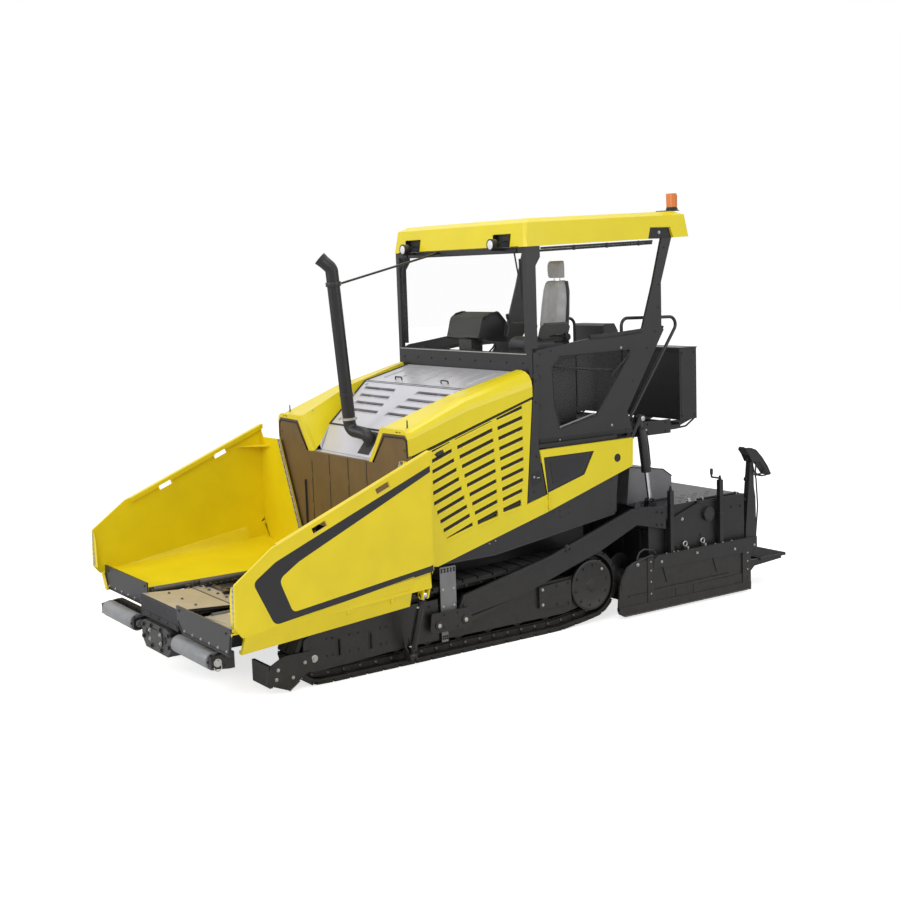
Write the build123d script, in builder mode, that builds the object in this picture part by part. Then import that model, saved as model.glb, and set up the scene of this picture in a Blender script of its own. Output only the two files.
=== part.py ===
from build123d import *
from math import atan2, cos, degrees, hypot, pi, sin, sqrt
import os

# Tracked asphalt paver, millimetres.  +Z up, the machine travels toward -Y and its
# left side is +X.  A station is the distance rearward from the front of the push rollers.

os.makedirs("parts", exist_ok=True)

# ---- driving dimensions -------------------------------------------------------------
overall_length = 6940.0
hopper_width = 3270.0        # both wings folded out
body_width = 2500.0          # over the yellow side panels
screed_width = 2400.0        # over the screed side plates, extensions in
working_gap = 6.0            # between parts that move past each other
seat_gap = 0.3               # between curved faces that would touch

front_y = -overall_length / 2
body_x = body_width / 2
wing_x = hopper_width / 2
screed_x = screed_width / 2


def at(station):
    """Y of a station."""
    return front_y + station


# ---- helpers, used inside a BuildPart block -----------------------------------------
def outline(plane, points):
    """A closed outline of straight edges on a plane."""
    with BuildSketch(plane) as sk:
        with BuildLine():
            Polyline(*points, close=True)
        make_face()
    return sk.sketch


def side_plate(points, x_in, x_out, mode=Mode.ADD):
    """Plate whose outline is given as (station, z), between two x values."""
    profile = [(at(s), z) for s, z in points]
    extrude(outline(Plane.YZ.offset(x_in), profile), amount=x_out - x_in, mode=mode)


def cross_plate(points, s_front, s_rear, mode=Mode.ADD):
    """Plate whose outline is given as (x, z), between two stations."""
    profile = outline(Plane.XZ.offset(-at(s_front)), points)
    extrude(profile, amount=s_front - s_rear, mode=mode)


def block(x0, x1, s0, s1, z0, z1, mode=Mode.ADD):
    """Box between two x values, two stations and two heights."""
    with Locations(((x0 + x1) / 2, at((s0 + s1) / 2), (z0 + z1) / 2)):
        Box(abs(x1 - x0), abs(s1 - s0), abs(z1 - z0), mode=mode)


def bar(start, end, radius, mode=Mode.ADD):
    """Round bar between two points given as (x, station, z)."""
    a = Vector(start[0], at(start[1]), start[2])
    b = Vector(end[0], at(end[1]), end[2])
    with BuildSketch(Plane(origin=a, z_dir=b - a)) as sk:
        Circle(radius)
    extrude(sk.sketch, amount=(b - a).length, mode=mode)


def bent_bar(points, bend, radius):
    """Round bar along straight runs joined by bends of one radius."""
    path_points = [(x, at(s), z) for x, s, z in points]
    with BuildLine() as path:
        FilletPolyline(*path_points, radius=bend)
    with BuildSketch(Plane(origin=path.line @ 0, z_dir=path.line % 0)) as sk:
        Circle(radius)
    sweep(sk.sketch, path=path.line)


def save(part, name):
    part.label = name
    export_step(part, "parts/" + name + ".step")


def save_pair(part, name):
    """The piece on the left side, +X, and its mirror image on the right."""
    save(part, name + "_left")
    save(mirror(part, about=Plane.YZ), name + "_right")


# ---- track: one loop of shoes and links round idler, rollers and sprocket -------------
track_x = 1060.0             # centre line of a track
track_width = 310.0
shoe_thickness = 26.0
shoe_gap = 14.0
band_thickness = 22.0
chain_width = 120.0
chain_height = 62.0
shoe_count = 46
idler_s, idler_z, idler_r = 1080.0, 270.0, 270.0       # r: over the shoes
last_roller_s, last_roller_r = 3730.0, 120.0
carrier_s, carrier_z, carrier_r = 2500.0, 530.0, 160.0
sprocket_s, sprocket_z, sprocket_r = 4130.0, 402.0, 350.0
track_out = track_x + track_width / 2
track_in = track_x - track_width / 2


def loop_points(inset):
    """Centre and radius of each round stretch of the loop, in running order."""
    return (
        (at(idler_s), idler_z, idler_r - inset),
        (at(last_roller_s), last_roller_r, last_roller_r - inset),
        (at(sprocket_s), sprocket_z, sprocket_r - inset),
        (at(carrier_s), carrier_z, carrier_r - inset),
    )


def loop_edges(circles):
    """Straight and round stretches round the circles, as (start, end, centre, radius)."""
    tangents = []
    for i, (y0, z0, r0) in enumerate(circles):
        y1, z1, r1 = circles[(i + 1) % len(circles)]
        span = hypot(y1 - y0, z1 - z0)
        lean = atan2(z1 - z0, y1 - y0) - pi / 2 - atan2(r1 - r0, sqrt(span**2 - (r1 - r0) ** 2))
        tangents.append(lean)
    pieces = []
    for i, (y0, z0, r0) in enumerate(circles):
        a0 = tangents[i - 1]
        a1 = tangents[i]
        while a1 < a0:
            a1 += 2 * pi
        pieces.append(("arc", y0, z0, r0, a0, a1))
        y1, z1, r1 = circles[(i + 1) % len(circles)]
        start = (y0 + r0 * cos(a1), z0 + r0 * sin(a1))
        end = (y1 + r1 * cos(a1), z1 + r1 * sin(a1))
        pieces.append(("line", start, end, a1, 0, 0))
    return pieces


def loop_length(circles):
    total = 0.0
    for piece in loop_edges(circles):
        if piece[0] == "arc":
            total += piece[3] * (piece[5] - piece[4])
        else:
            total += hypot(piece[2][0] - piece[1][0], piece[2][1] - piece[1][1])
    return total


def loop_place(circles, distance):
    """Point and outward direction at a distance along the loop."""
    for piece in loop_edges(circles):
        if piece[0] == "arc":
            run = piece[3] * (piece[5] - piece[4])
            if distance <= run:
                a = piece[4] + distance / piece[3]
                return piece[1] + piece[3] * cos(a), piece[2] + piece[3] * sin(a), a
        else:
            run = hypot(piece[2][0] - piece[1][0], piece[2][1] - piece[1][1])
            if distance <= run:
                t = distance / run
                y = piece[1][0] + t * (piece[2][0] - piece[1][0])
                z = piece[1][1] + t * (piece[2][1] - piece[1][1])
                return y, z, piece[3]
        distance -= run
    return circles[0][0], circles[0][1] - circles[0][2], -pi / 2


def ring_outline(inset, steps):
    """Outline of the loop at an inset, its round stretches in short chords."""
    points = []
    for piece in loop_edges(loop_points(inset)):
        if piece[0] == "arc":
            count = max(2, round(steps * (piece[5] - piece[4]) / (2 * pi)))
            for k in range(count + 1):
                a = piece[4] + (piece[5] - piece[4]) * k / count
                points.append((piece[1] + piece[3] * cos(a), piece[2] + piece[3] * sin(a)))
    return points


def shoe_outline():
    """Outline of the shoes, a tooth for each, closed on the band below them."""
    base = loop_points(shoe_thickness)
    pitch = loop_length(base) / shoe_count
    points = []
    for k in range(shoe_count):
        for part, height in ((0.0, 0.0), (0.0, 1.0), (1.0, 1.0), (1.0, 0.0)):
            y, z, a = loop_place(base, pitch * k + part * (pitch - shoe_gap) + 1.0)
            points.append((y + height * shoe_thickness * cos(a), z + height * shoe_thickness * sin(a)))
    return points


with BuildPart() as track:
    shoes = outline(Plane.YZ.offset(track_in), shoe_outline())
    extrude(shoes, amount=track_width)
    inside = outline(Plane.YZ.offset(track_in), ring_outline(shoe_thickness + band_thickness, 40))
    extrude(inside, amount=track_width, mode=Mode.SUBTRACT)
    chain_in = track_x - chain_width / 2
    links = outline(Plane.YZ.offset(chain_in), ring_outline(shoe_thickness + band_thickness, 40))
    extrude(links, amount=chain_width)
    hollow = outline(
        Plane.YZ.offset(chain_in), ring_outline(shoe_thickness + band_thickness + chain_height, 40)
    )
    extrude(hollow, amount=chain_width, mode=Mode.SUBTRACT)
save_pair(track.part, "track")

# ---- track frame: beam, side plate with slots, plough, tow-point cheek -----------------
frame_in = track_in + 22.0
frame_out = track_out - 14.0
cheek_plate = 18.0
plate_in = track_out + 4.0
plate_out = plate_in + 12.0
tow_s, tow_z = 2560.0, 340.0         # pin that the tow arm swings on
arm_in = max(plate_out + 8.0, screed_x + 39.0)
arm_out = arm_in + 34.0
tow_cheek_in = arm_out + 6.0
tow_cheek_out = tow_cheek_in + 14.0
tow_pin_r = 24.0
axle_r = 38.0
chain_inset = shoe_thickness + band_thickness + chain_height
chord_sag = 1.2                      # the loop's round stretches are short chords
idler_wheel_r = idler_r - chain_inset - chord_sag
sprocket_wheel_r = sprocket_r - chain_inset - chord_sag
roller_r = 66.0
roller_z = chain_inset + seat_gap + roller_r
roller_first, roller_last, roller_total = 1560.0, 3640.0, 7
wheel_half = 46.0
drive_r = 250.0                      # round cover of the final drive
drive_hub_r = 110.0
drive_out = plate_out + 3.0
ram_s = 1950.0                       # plane of the hopper wing's cylinder
ram_low_x, ram_low_z = track_out + 95.0, 110.0
ram_pin_r = 14.0
ram_eye_half = 22.0

with BuildPart() as track_frame:
    # beam between the upper and lower run, open below for the rollers
    side_plate(((1330, 262), (1330, 452), (3850, 520), (3850, 262)), frame_in, frame_out)
    for x0 in (frame_in, frame_out - cheek_plate):
        side_plate(((1040, 220), (1040, 380), (1330, 452), (3850, 520), (4290, 560), (4290, 250),
                    (3800, 165), (1360, 165)), x0, x0 + cheek_plate)
    bar((frame_in - 1, sprocket_s, sprocket_z), (frame_out + 1, sprocket_s, sprocket_z),
        drive_hub_r + seat_gap, Mode.SUBTRACT)
    # bolted side plate with its two slots
    side_plate(((880, 150), (900, 420), (1080, 545), (2300, 560), (2300, 190), (1000, 130)),
               plate_in, plate_out)
    block(frame_out, plate_in, 1340, 2280, 200, 440)
    for slot_s in (1250, 1570):
        block(plate_in - 1, plate_out + 1, slot_s - 9, slot_s + 9, 235, 375, Mode.SUBTRACT)
    # upright guide plate beside the tow arm's nose
    side_plate(((2330, 150), (2330, 850), (2510, 850), (2510, 430), (2400, 430), (2400, 150)),
               plate_in, plate_out)
    block(frame_out, plate_in, 2340, 2390, 300, 420)
    # plough ahead of the track, bolted to the nose of the side plate
    side_plate(((520, 110), (575, 268), (700, 330), (960, 330), (980, 180), (835, 90), (735, 22)),
               plate_out, plate_out + 14)
    block(track_in, plate_out, 560, 588, 70, 262)
    # box beam outside the beam, up to the drive
    side_plate(((3480, 270), (3480, 480), (3876, 500), (3876, 250)), frame_out, plate_out)
    # cheek outside the tow arm, with its spacer and pin
    side_plate(((2170, 290), (2190, 450), (2600, 450), (2632, 420), (2632, 290), (2600, 262),
                (2200, 262)), tow_cheek_in, tow_cheek_out)
    for pin_s, pin_z in ((2265, 330), (tow_s, tow_z)):
        bar((plate_in, pin_s, pin_z), (tow_cheek_out + 8, pin_s, pin_z), tow_pin_r)
    block(frame_out, plate_out, tow_s - 60, tow_s + 60, tow_z - 60, tow_z + 60)
    # bracket of the wing cylinder's lower pin
    for s0 in (ram_s - ram_eye_half - 14, ram_s + ram_eye_half + 2):
        with BuildSketch(Plane.XZ.offset(-at(s0))) as ear:
            with BuildLine():
                Polyline((plate_in, 66), (ram_low_x + 24, 66), (ram_low_x + 36, 96),
                         (ram_low_x + 30, 134), (ram_low_x - 10, 146), (plate_in + 26, 200),
                         (plate_in + 10, 300), (plate_in, 300), close=True)
            make_face()
        extrude(ear.sketch, amount=-12)
    bar((ram_low_x, ram_s - ram_eye_half - 18, ram_low_z), (ram_low_x, ram_s + ram_eye_half + 18,
        ram_low_z), ram_pin_r)
save_pair(track_frame.part, "track_frame")


with BuildPart() as track_wheels:
    for side in (-1, 1):
        x_wheel = side * track_x
        ax0 = side * (frame_in + cheek_plate)
        ax1 = side * (frame_out - cheek_plate)
        bar((x_wheel - wheel_half, idler_s, idler_z), (x_wheel + wheel_half, idler_s, idler_z),
            idler_wheel_r)
        bar((ax0, idler_s, idler_z), (ax1, idler_s, idler_z), axle_r)
        for k in range(roller_total):
            s = roller_first + k * (roller_last - roller_first) / (roller_total - 1)
            bar((x_wheel - wheel_half, s, roller_z), (x_wheel + wheel_half, s, roller_z), roller_r)
            bar((ax0, s, roller_z), (ax1, s, roller_z), 22)
save(track_wheels.part, "track_wheels")

sprocket_teeth = 13
with BuildPart() as final_drives:
    for side in (-1, 1):
        x_wheel = side * track_x
        with BuildSketch(Plane.YZ.offset(x_wheel - 24)) as wheel:
            with Locations((at(sprocket_s), sprocket_z)):
                Circle(sprocket_wheel_r)
                with PolarLocations(sprocket_wheel_r + 8, sprocket_teeth):
                    Circle(28, mode=Mode.SUBTRACT)
        extrude(wheel.sketch, amount=48)
        bar((side * frame_in, sprocket_s, sprocket_z), (side * drive_out, sprocket_s, sprocket_z),
            drive_hub_r)
        bar((side * frame_out, sprocket_s, sprocket_z), (side * drive_out, sprocket_s, sprocket_z),
            drive_r)
save(final_drives.part, "final_drives")

# ---- main frame: side walls, cross tubes, tunnel roof, hopper hinge ears ----------------
wall_in, wall_out = 640.0, 690.0
hopper_rear_s = 2033.0               # front face of the bulkhead
frame_front_s, frame_rear_s = 400.0, 4490.0
tunnel_top = 1060.0
floor_z = 600.0                      # top of the conveyor floor
hinge_x, hinge_z = 662.0, 632.0      # pivot line of a hopper wing
hinge_pin_r = 16.0
hinge_ears = (760.0, 1310.0, 1860.0)
ear_half = 24.0
beam_pivot_s = 300.0

with BuildPart() as main_frame:
    for side in (-1, 1):
        side_plate(((frame_front_s, 330), (frame_front_s, 560), (hopper_rear_s, 560),
                    (hopper_rear_s, tunnel_top), (frame_rear_s, tunnel_top), (frame_rear_s, 480),
                    (4380, 330)), side * wall_in, side * wall_out)
        for s0, s1 in ((1750, 1990), (3150, 3400)):
            block(side * wall_out, side * frame_in, s0, s1, 290, 440)
        # ears that carry the hopper wing's hinge pin
        for s in hinge_ears:
            with BuildSketch(Plane.XZ.offset(-at(s - ear_half))) as ear:
                with Locations((side * hinge_x, hinge_z)):
                    Circle(32)
                with Locations((side * hinge_x, (hinge_z + 555) / 2)):
                    Rectangle(40, hinge_z - 555)
                with Locations((side * hinge_x, hinge_z)):
                    Circle(hinge_pin_r + seat_gap, mode=Mode.SUBTRACT)
            extrude(ear.sketch, amount=-2 * ear_half)
    block(-wall_in, wall_in, frame_front_s, 4380, 330, 350)
    block(-wall_in, wall_in, frame_front_s, frame_front_s + 40, 350, 560)
    block(-wall_out, wall_out, hopper_rear_s + 40, frame_rear_s, tunnel_top, tunnel_top + 24)
    # ears of the front apron's hinge
    for side in (-1, 1):
        block(side * 570, side * wall_in, 615, 665, 520, 556)
        block(side * 570, side * 620, 615, 665, 556, 645)
        bar((side * 560, 640, 612), (side * 625, 640, 612), 14 + seat_gap, Mode.SUBTRACT)
    # clevis of the push beam
    for z0 in (330, 470):
        block(-90, 90, 254, frame_front_s, z0, z0 + 30)
    bar((0, beam_pivot_s, 330), (0, beam_pivot_s, 500), 30)
    # gear case between the augers, carried by the frame's rear end
    block(-62, 62, 4370, 4770, 330, 470)
    bar((-63, 4705, 400), (63, 4705, 400), 45 + seat_gap, Mode.SUBTRACT)
    block(-36, 36, 4655, 4755, 350, 450)
save(main_frame.part, "main_frame")

# ---- two slat conveyors -----------------------------------------------------------------
lane_in, lane_out = 40.0, wall_in - 4.0
slat_pitch, slat_w, slat_h = 260.0, 46.0, 26.0
conveyor_front_s, conveyor_rear_s = 700.0, 4480.0
with BuildPart() as conveyors:
    block(-wall_in, wall_in, conveyor_front_s, conveyor_rear_s, floor_z - 40, floor_z)
    block(-lane_in, lane_in, 1100, conveyor_rear_s, floor_z, floor_z + 90)
    for side in (-1, 1):
        for k in range(int((conveyor_rear_s - 900) / slat_pitch)):
            s = 840 + k * slat_pitch
            block(side * (lane_in + 12), side * (lane_out - 40), s, s + slat_w, floor_z,
                  floor_z + slat_h)
        for x in (lane_in + 12, (lane_in + lane_out) / 2 - 16, lane_out - 72):
            block(side * x, side * (x + 32), 840, conveyor_rear_s - 20, floor_z, floor_z + 14)
save(conveyors.part, "conveyors")

# ---- bulkhead between hopper and engine bay ---------------------------------------------
bulk_thick = 40.0
notch_z = 1800.0
inset_x, foot_x = body_x - 425.0, body_x - 628.0   # inner edge of the plate, top and foot
with BuildPart() as bulkhead:
    half = []
    for x, z in ((wall_out, tunnel_top), (wall_out, 880), (body_x - 5, 880), (body_x - 5, 1895),
                 (body_x - 12, 2050), (body_x - 52, 2092), (inset_x, 2086), (foot_x, notch_z)):
        half.append((x, z))
    cross_plate(half + [(-x, z) for x, z in reversed(half)], hopper_rear_s,
                hopper_rear_s + bulk_thick)
    for side in (-1, 1):
        block(side * wall_out, side * (wall_out + 40), hopper_rear_s, hopper_rear_s + bulk_thick,
              700, 1060)
save(bulkhead.part, "bulkhead")

# ---- engine, one plain block ------------------------------------------------------------
with BuildPart() as engine_block:
    block(-560, 560, 2260, 3380, tunnel_top + 24, 1760)
save(engine_block.part, "engine_block")

# ---- hood: deck, slotted lid in two slopes, yellow shoulders -----------------------------
hood_rear_s, hood_rear_z = 3470.0, 2556.0      # where the hood meets the platform front
lid_front_s, lid_front_z = 2330.0, 2040.0
lid_knee_s, lid_knee_z = 2907.0, 2425.0        # the lid turns flatter here
lid_front_half, lid_knee_half, lid_rear_half = body_x - 555.0, body_x - 325.0, body_x - 285.0
lid_thick = 30.0
slot_rows, slot_first, slot_pitch, slot_wide = 4, 225.0, 114.0, 42.0
rib_count, rib_pitch = 7, 250.0
shoulder_front_s = hopper_rear_s + bulk_thick
side_wall = 30.0
panel_in = body_x - side_wall
crown_thick = 34.0
edge_round = ((0, 150), (12, 95), (46, 46), (100, 14), (165, 0))    # inset and drop, full size
# station, lower edge, crown height, share of the edge's rounding, crown's inner edge, foot of
# the inner face
shoulder_sections = (
    (shoulder_front_s, 1912.0, 2140.0, 0.5, body_x - 465.0, (body_x - 695.0, notch_z)),
    (2690.0, 2102.0, 2384.0, 0.8, body_x - 330.0, (body_x - 385.0, 2215.0)),
    (3445.0, 2335.0, 2580.0, 1.0, body_x - 240.0, (body_x - 282.0, 2490.0)),
)


def slope_plane(s0, z0, s1, z1):
    """Plane on a sloping face, its local Y running up the slope, and the slope's length."""
    lean = atan2(z1 - z0, s1 - s0)
    return Plane(origin=(0, at(s0), z0), x_dir=(1, 0, 0),
                 z_dir=(0, -sin(lean), cos(lean))), hypot(z1 - z0, s1 - s0)


def under_lid(s):
    """Height of the lid's underside at a station."""
    s0, z0, s1, z1 = lid_front_s, lid_front_z, lid_knee_s, lid_knee_z
    if s > lid_knee_s:
        s0, z0, s1, z1 = lid_knee_s, lid_knee_z, hood_rear_s, hood_rear_z
    rise = (z1 - z0) / (s1 - s0)
    return z0 + rise * (s - s0) - lid_thick * sqrt(1 + rise**2) - 1


with BuildPart() as hood_deck:
    block(-700, 700, shoulder_front_s, 2700, notch_z - 30, notch_z)
    for side in (-1, 1):
        side_plate(((2360, notch_z - 30), (2360, under_lid(2360)), (2890, under_lid(2890)),
                    (2925, under_lid(2925)), (3440, under_lid(3440)), (3440, 2300),
                    (2700, notch_z - 30)), side * 520, side * 545)
save(hood_deck.part, "hood_deck")

with BuildPart() as hood_lid:
    lower_plane, lower_length = slope_plane(lid_front_s, lid_front_z, lid_knee_s, lid_knee_z)
    upper_plane, upper_length = slope_plane(lid_knee_s, lid_knee_z, hood_rear_s, hood_rear_z)
    with BuildSketch(lower_plane) as lower_face:
        with BuildLine():
            Polyline((-lid_front_half, 0), (lid_front_half, 0), (lid_knee_half, lower_length),
                     (-lid_knee_half, lower_length), close=True)
        make_face()
    extrude(lower_face.sketch, amount=-lid_thick)
    with BuildSketch(upper_plane) as upper_face:
        with BuildLine():
            Polyline((-lid_knee_half, 0), (lid_knee_half, 0), (lid_rear_half, upper_length),
                     (-lid_rear_half, upper_length), close=True)
        make_face()
    extrude(upper_face.sketch, amount=-lid_thick)
    # long vent slots in two columns that part toward the rear
    for side in (-1, 1):
        for k in range(slot_rows):
            v = slot_first + k * slot_pitch
            inner = 78 + 38 * k
            outer = lid_front_half - 95 + 62 * k
            with BuildSketch(lower_plane) as slot:
                with BuildLine():
                    Polyline((side * inner, v), (side * outer, v), (side * outer, v + slot_wide),
                             (side * (inner + 16), v + slot_wide), close=True)
                make_face()
            extrude(slot.sketch, amount=-3 * lid_thick, both=True, mode=Mode.SUBTRACT)
    with BuildSketch(upper_plane) as ribs:
        with Locations((0, upper_length - 260)):
            with GridLocations(rib_pitch, 1, rib_count, 1):
                Rectangle(16, 360)
    extrude(ribs.sketch, amount=8)
save(hood_lid.part, "hood_lid")


def round_edge(top_z, share):
    """Points of a shoulder's rounded outer edge, from its side up to its crown."""
    return [(body_x - share * inset, top_z - share * drop) for inset, drop in edge_round]


def shoulder_section(side, s, low_z, top_z, share, crown_x, foot):
    """Section of a shoulder across the machine: side, round edge, crown, inner face."""
    points = [(panel_in, low_z), (body_x, low_z)] + round_edge(top_z, share)
    points += [(crown_x, top_z), foot, (foot[0] + 38, foot[1]), (crown_x + 26, top_z - crown_thick)]
    points += [(body_x - 172, top_z - crown_thick), (panel_in, top_z - 165)]
    with BuildSketch(Plane.XZ.offset(-at(s))) as section:
        with BuildLine():
            Polyline(*[(side * x, z) for x, z in points], close=True)
        make_face()
    return section.sketch


with BuildPart() as hood_shoulders:
    front_low, front_top, front_share, front_crown, front_foot = shoulder_sections[0][1:]
    for side in (-1, 1):
        loft([shoulder_section(side, *values) for values in shoulder_sections], ruled=True)
        # front frame round the top of the brown plate
        frame = [(body_x, front_low)] + round_edge(front_top, front_share)
        frame += [(front_crown, front_top), front_foot, (foot_x - 5, notch_z)]
        frame += [(inset_x - 4, 2090), (body_x - 50, 2096), (body_x - 9, 2053)]
        frame += [(body_x - 2, front_low)]
        cross_plate([(side * x, z) for x, z in frame], hopper_rear_s, shoulder_front_s)
save(hood_shoulders.part, "hood_shoulders")

# ---- louvred side doors, hinged on the vertical line at their rear seam -----------------
door_seam_s = 3605.0
door_front_s = hopper_rear_s + bulk_thick + 4
door_in = panel_in
knuckle_r = 10.0
door_hinge_x, door_hinge_s = body_x + knuckle_r, door_seam_s + working_gap / 2
skirt_out = panel_in - working_gap
louvre_pitch, louvre_gap, louvre_rows = 98.0, 34.0, 10
# columns of slots: reference station, height of the top row there, slope of a row
louvre_columns = ((2283.0, 1940.0, 0.360), (2542.0, 2030.0, 0.315), (3016.0, 2166.0, 0.275))


def louvre_ends(column, t):
    """Front and rear station of a slot, t running from the top row 0 to the bottom row 1."""
    if column == 0:
        return 2283 + 280 * max(0.0, t - 0.54), 2481 + 190 * t + 37 * t**2
    if column == 1:
        return 2542 + 190 * t + 32 * t**2, 2958 + 80 * t - 39 * t**2
    return 3016 + 75 * t - 28 * t**2, 3318 - 200 * max(0.0, t - 0.6) ** 1.7


with BuildPart() as side_door:
    side_plate(((door_front_s, 900), (2310, 868), (door_seam_s, 1212), (door_seam_s, 1380),
                (3346, 1312), (3438, 2306), (door_front_s, 1884)), door_in, body_x)
    # three columns of slanted slots, the lowest one of the rear two columns taller
    for column, (s_ref, z_ref, rise) in enumerate(louvre_columns):
        for row in range(louvre_rows):
            s0, s1 = louvre_ends(column, row / (louvre_rows - 1))
            z0 = z_ref - louvre_pitch * row + rise * (s0 - s_ref)
            z1 = z0 + rise * (s1 - s0)
            up = louvre_gap / 2
            low0, low1 = up, up
            if row == louvre_rows - 1 and column == 0:
                low0 = up - 24
            if row == louvre_rows - 1 and column > 0:
                low0, low1 = up + 6, up + 28
            side_plate(((s0, z0 - low0), (s1, z1 - low1), (s1, z1 + up), (s0, z0 + up)),
                       door_in - 1, body_x + 1, Mode.SUBTRACT)
    block(body_x, body_x + 4, door_hinge_s - 50, door_hinge_s, 1275, 1325)
    bar((door_hinge_x, door_hinge_s, 1275), (door_hinge_x, door_hinge_s, 1325), knuckle_r)
    bar((door_hinge_x, door_hinge_s, 1270), (door_hinge_x, door_hinge_s, 1330),
        knuckle_r - 4 + seat_gap, Mode.SUBTRACT)
save_pair(side_door.part, "side_door")

cab_out = body_x - 100.0
hoist_x = screed_x - 110.0

# ---- pillars, rear side panels, skirts, tank body ---------------------------------------
with BuildPart() as body_pillars:
    for side in (-1, 1):
        side_plate(((3452, 2322), (3358, 1322), (3585, 1384), (3506, 1815), (3524, 2545),
                    (3475, 2545)), side * (panel_in + 2), side * (body_x - 4))
        block(side * cab_out, side * (panel_in + 2), 3494, 3520, 1870, 2500)
save(body_pillars.part, "body_pillars")

with BuildPart() as rear_side_panels:
    for side in (-1, 1):
        side_plate(((3611, 1214), (4690, 1540), (4700, 1822), (3516, 1815), (3597, 1386),
                    (3611, 1388)), side * panel_in, side * body_x)
        side_plate(((3560, 1742), (4190, 1742), (4060, 1520), (3600, 1392)),
                   side * (body_x - 6), side * (body_x + 1), Mode.SUBTRACT)
        bar((side * (body_x - 12), 4490, 1640), (side * (body_x + 1), 4490, 1640), 42,
            Mode.SUBTRACT)
        for s in (3900, 4400):
            block(side * (skirt_out - 24), side * panel_in, s, s + 40, 1630, 1700)
        # hinge pin and two knuckles of the side door
        bar((side * door_hinge_x, door_hinge_s, 1236), (side * door_hinge_x, door_hinge_s, 1364),
            knuckle_r - 4)
        for z in (1236, 1326):
            bar((side * door_hinge_x, door_hinge_s, z), (side * door_hinge_x, door_hinge_s, z + 38),
                knuckle_r)
            block(side * body_x, side * (body_x + 4), door_hinge_s, door_hinge_s + 50, z, z + 38)
save(rear_side_panels.part, "rear_side_panels")

with BuildPart() as frame_skirts:
    for side in (-1, 1):
        side_plate(((2110, 866), (2970, 866), (4475, 1066), (4530, 1500), (4530, 1560),
                    (3611, 1300), (2310, 940), (2110, 1000)), side * (skirt_out - 24),
                   side * skirt_out)
        for s0 in (2400, 3300):
            block(side * wall_out, side * (skirt_out - 24), s0, s0 + 30, 940, tunnel_top)
save(frame_skirts.part, "frame_skirts")

platform_z = 1860.0
walkway_half = hoist_x - 60.0
with BuildPart() as tank_body:
    block(-skirt_out + 24, skirt_out - 24, 3640, 4520, tunnel_top + 24, platform_z - 40)
save(tank_body.part, "tank_body")

with BuildPart() as platform_floor:
    block(-skirt_out + 24, skirt_out - 24, 3530, 4540, platform_z - 40, platform_z)
    block(-walkway_half, walkway_half, 4540, 5560, platform_z - 40, platform_z)
    for side in (-1, 1):
        block(side * (walkway_half - 12), side * walkway_half, 4540, 5420, platform_z - 75,
              platform_z + 70)
    block(-cab_out, cab_out, 3492, 3530, 1100, 2545)
save(platform_floor.part, "platform_floor")

# ---- cab: side plates with rear columns, windscreen frame, glass, roof ------------------
cab_wall = 30.0
roof_low_front = 3740.0
roof_rise = 0.030                    # the roof climbs toward the rear
roof_front_s, roof_rear_s = 3470.0, 5575.0
roof_half = body_x - 85.0
roof_corner = 34.0
lamp_x = body_x - 470.0
roof_levels = (0.0, 225.0, 265.0)    # rim, shoulder and top over the rim
side_window = ((3771, 2589), (3866, 2688), (4760, 2702), (4776, 2656), (4314, 2072),
               (3851, 1986), (3787, 2225))


def roof_under(s):
    """Height just under the roof's rim at a station."""
    return roof_low_front + roof_rise * (s - roof_front_s) - seat_gap


with BuildPart() as cab_side:
    side_plate(((3540, 2560), (3590, platform_z), (4790, platform_z), (4720, 2080), (5230, 2870),
                (5200, 2920), (5200, 3350), (5350, roof_under(5350)),
                (5215, roof_under(5215)), (5090, 3350),
                (4940, 2900), (4900, 2880), (4270, 2840), (3870, 2790), (3610, 2760),
                (3540, 2730)), cab_out - cab_wall, cab_out)
    side_plate(side_window, cab_out - cab_wall - 1, cab_out + 1, Mode.SUBTRACT)
save_pair(cab_side.part, "cab_side")

with BuildPart() as windscreen_frame:
    block(-cab_out, cab_out, 3490, 3532, 2545, 2730)
    for side in (-1, 1):
        block(side * (cab_out - 60), side * cab_out, 3490, 3532, 2730, roof_under(3490))
        side_plate(((3531, 2775), (3600, 2775), (3600, 3560), (3655, 3640),
                    (3655, roof_under(3655)), (3531, roof_under(3531))), side * (cab_out - 26),
                   side * cab_out)
    block(-cab_out + 60, cab_out - 60, 3490, 3532, 3690, roof_under(3490))
save(windscreen_frame.part, "windscreen_frame")

with BuildPart() as cab_glass:
    block(-cab_out + 60, cab_out - 60, 3508, 3514, 2730, 3690)
    for side in (-1, 1):
        side_plate(side_window, side * (cab_out - 18), side * (cab_out - 12))
save(cab_glass.part, "cab_glass")

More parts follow.
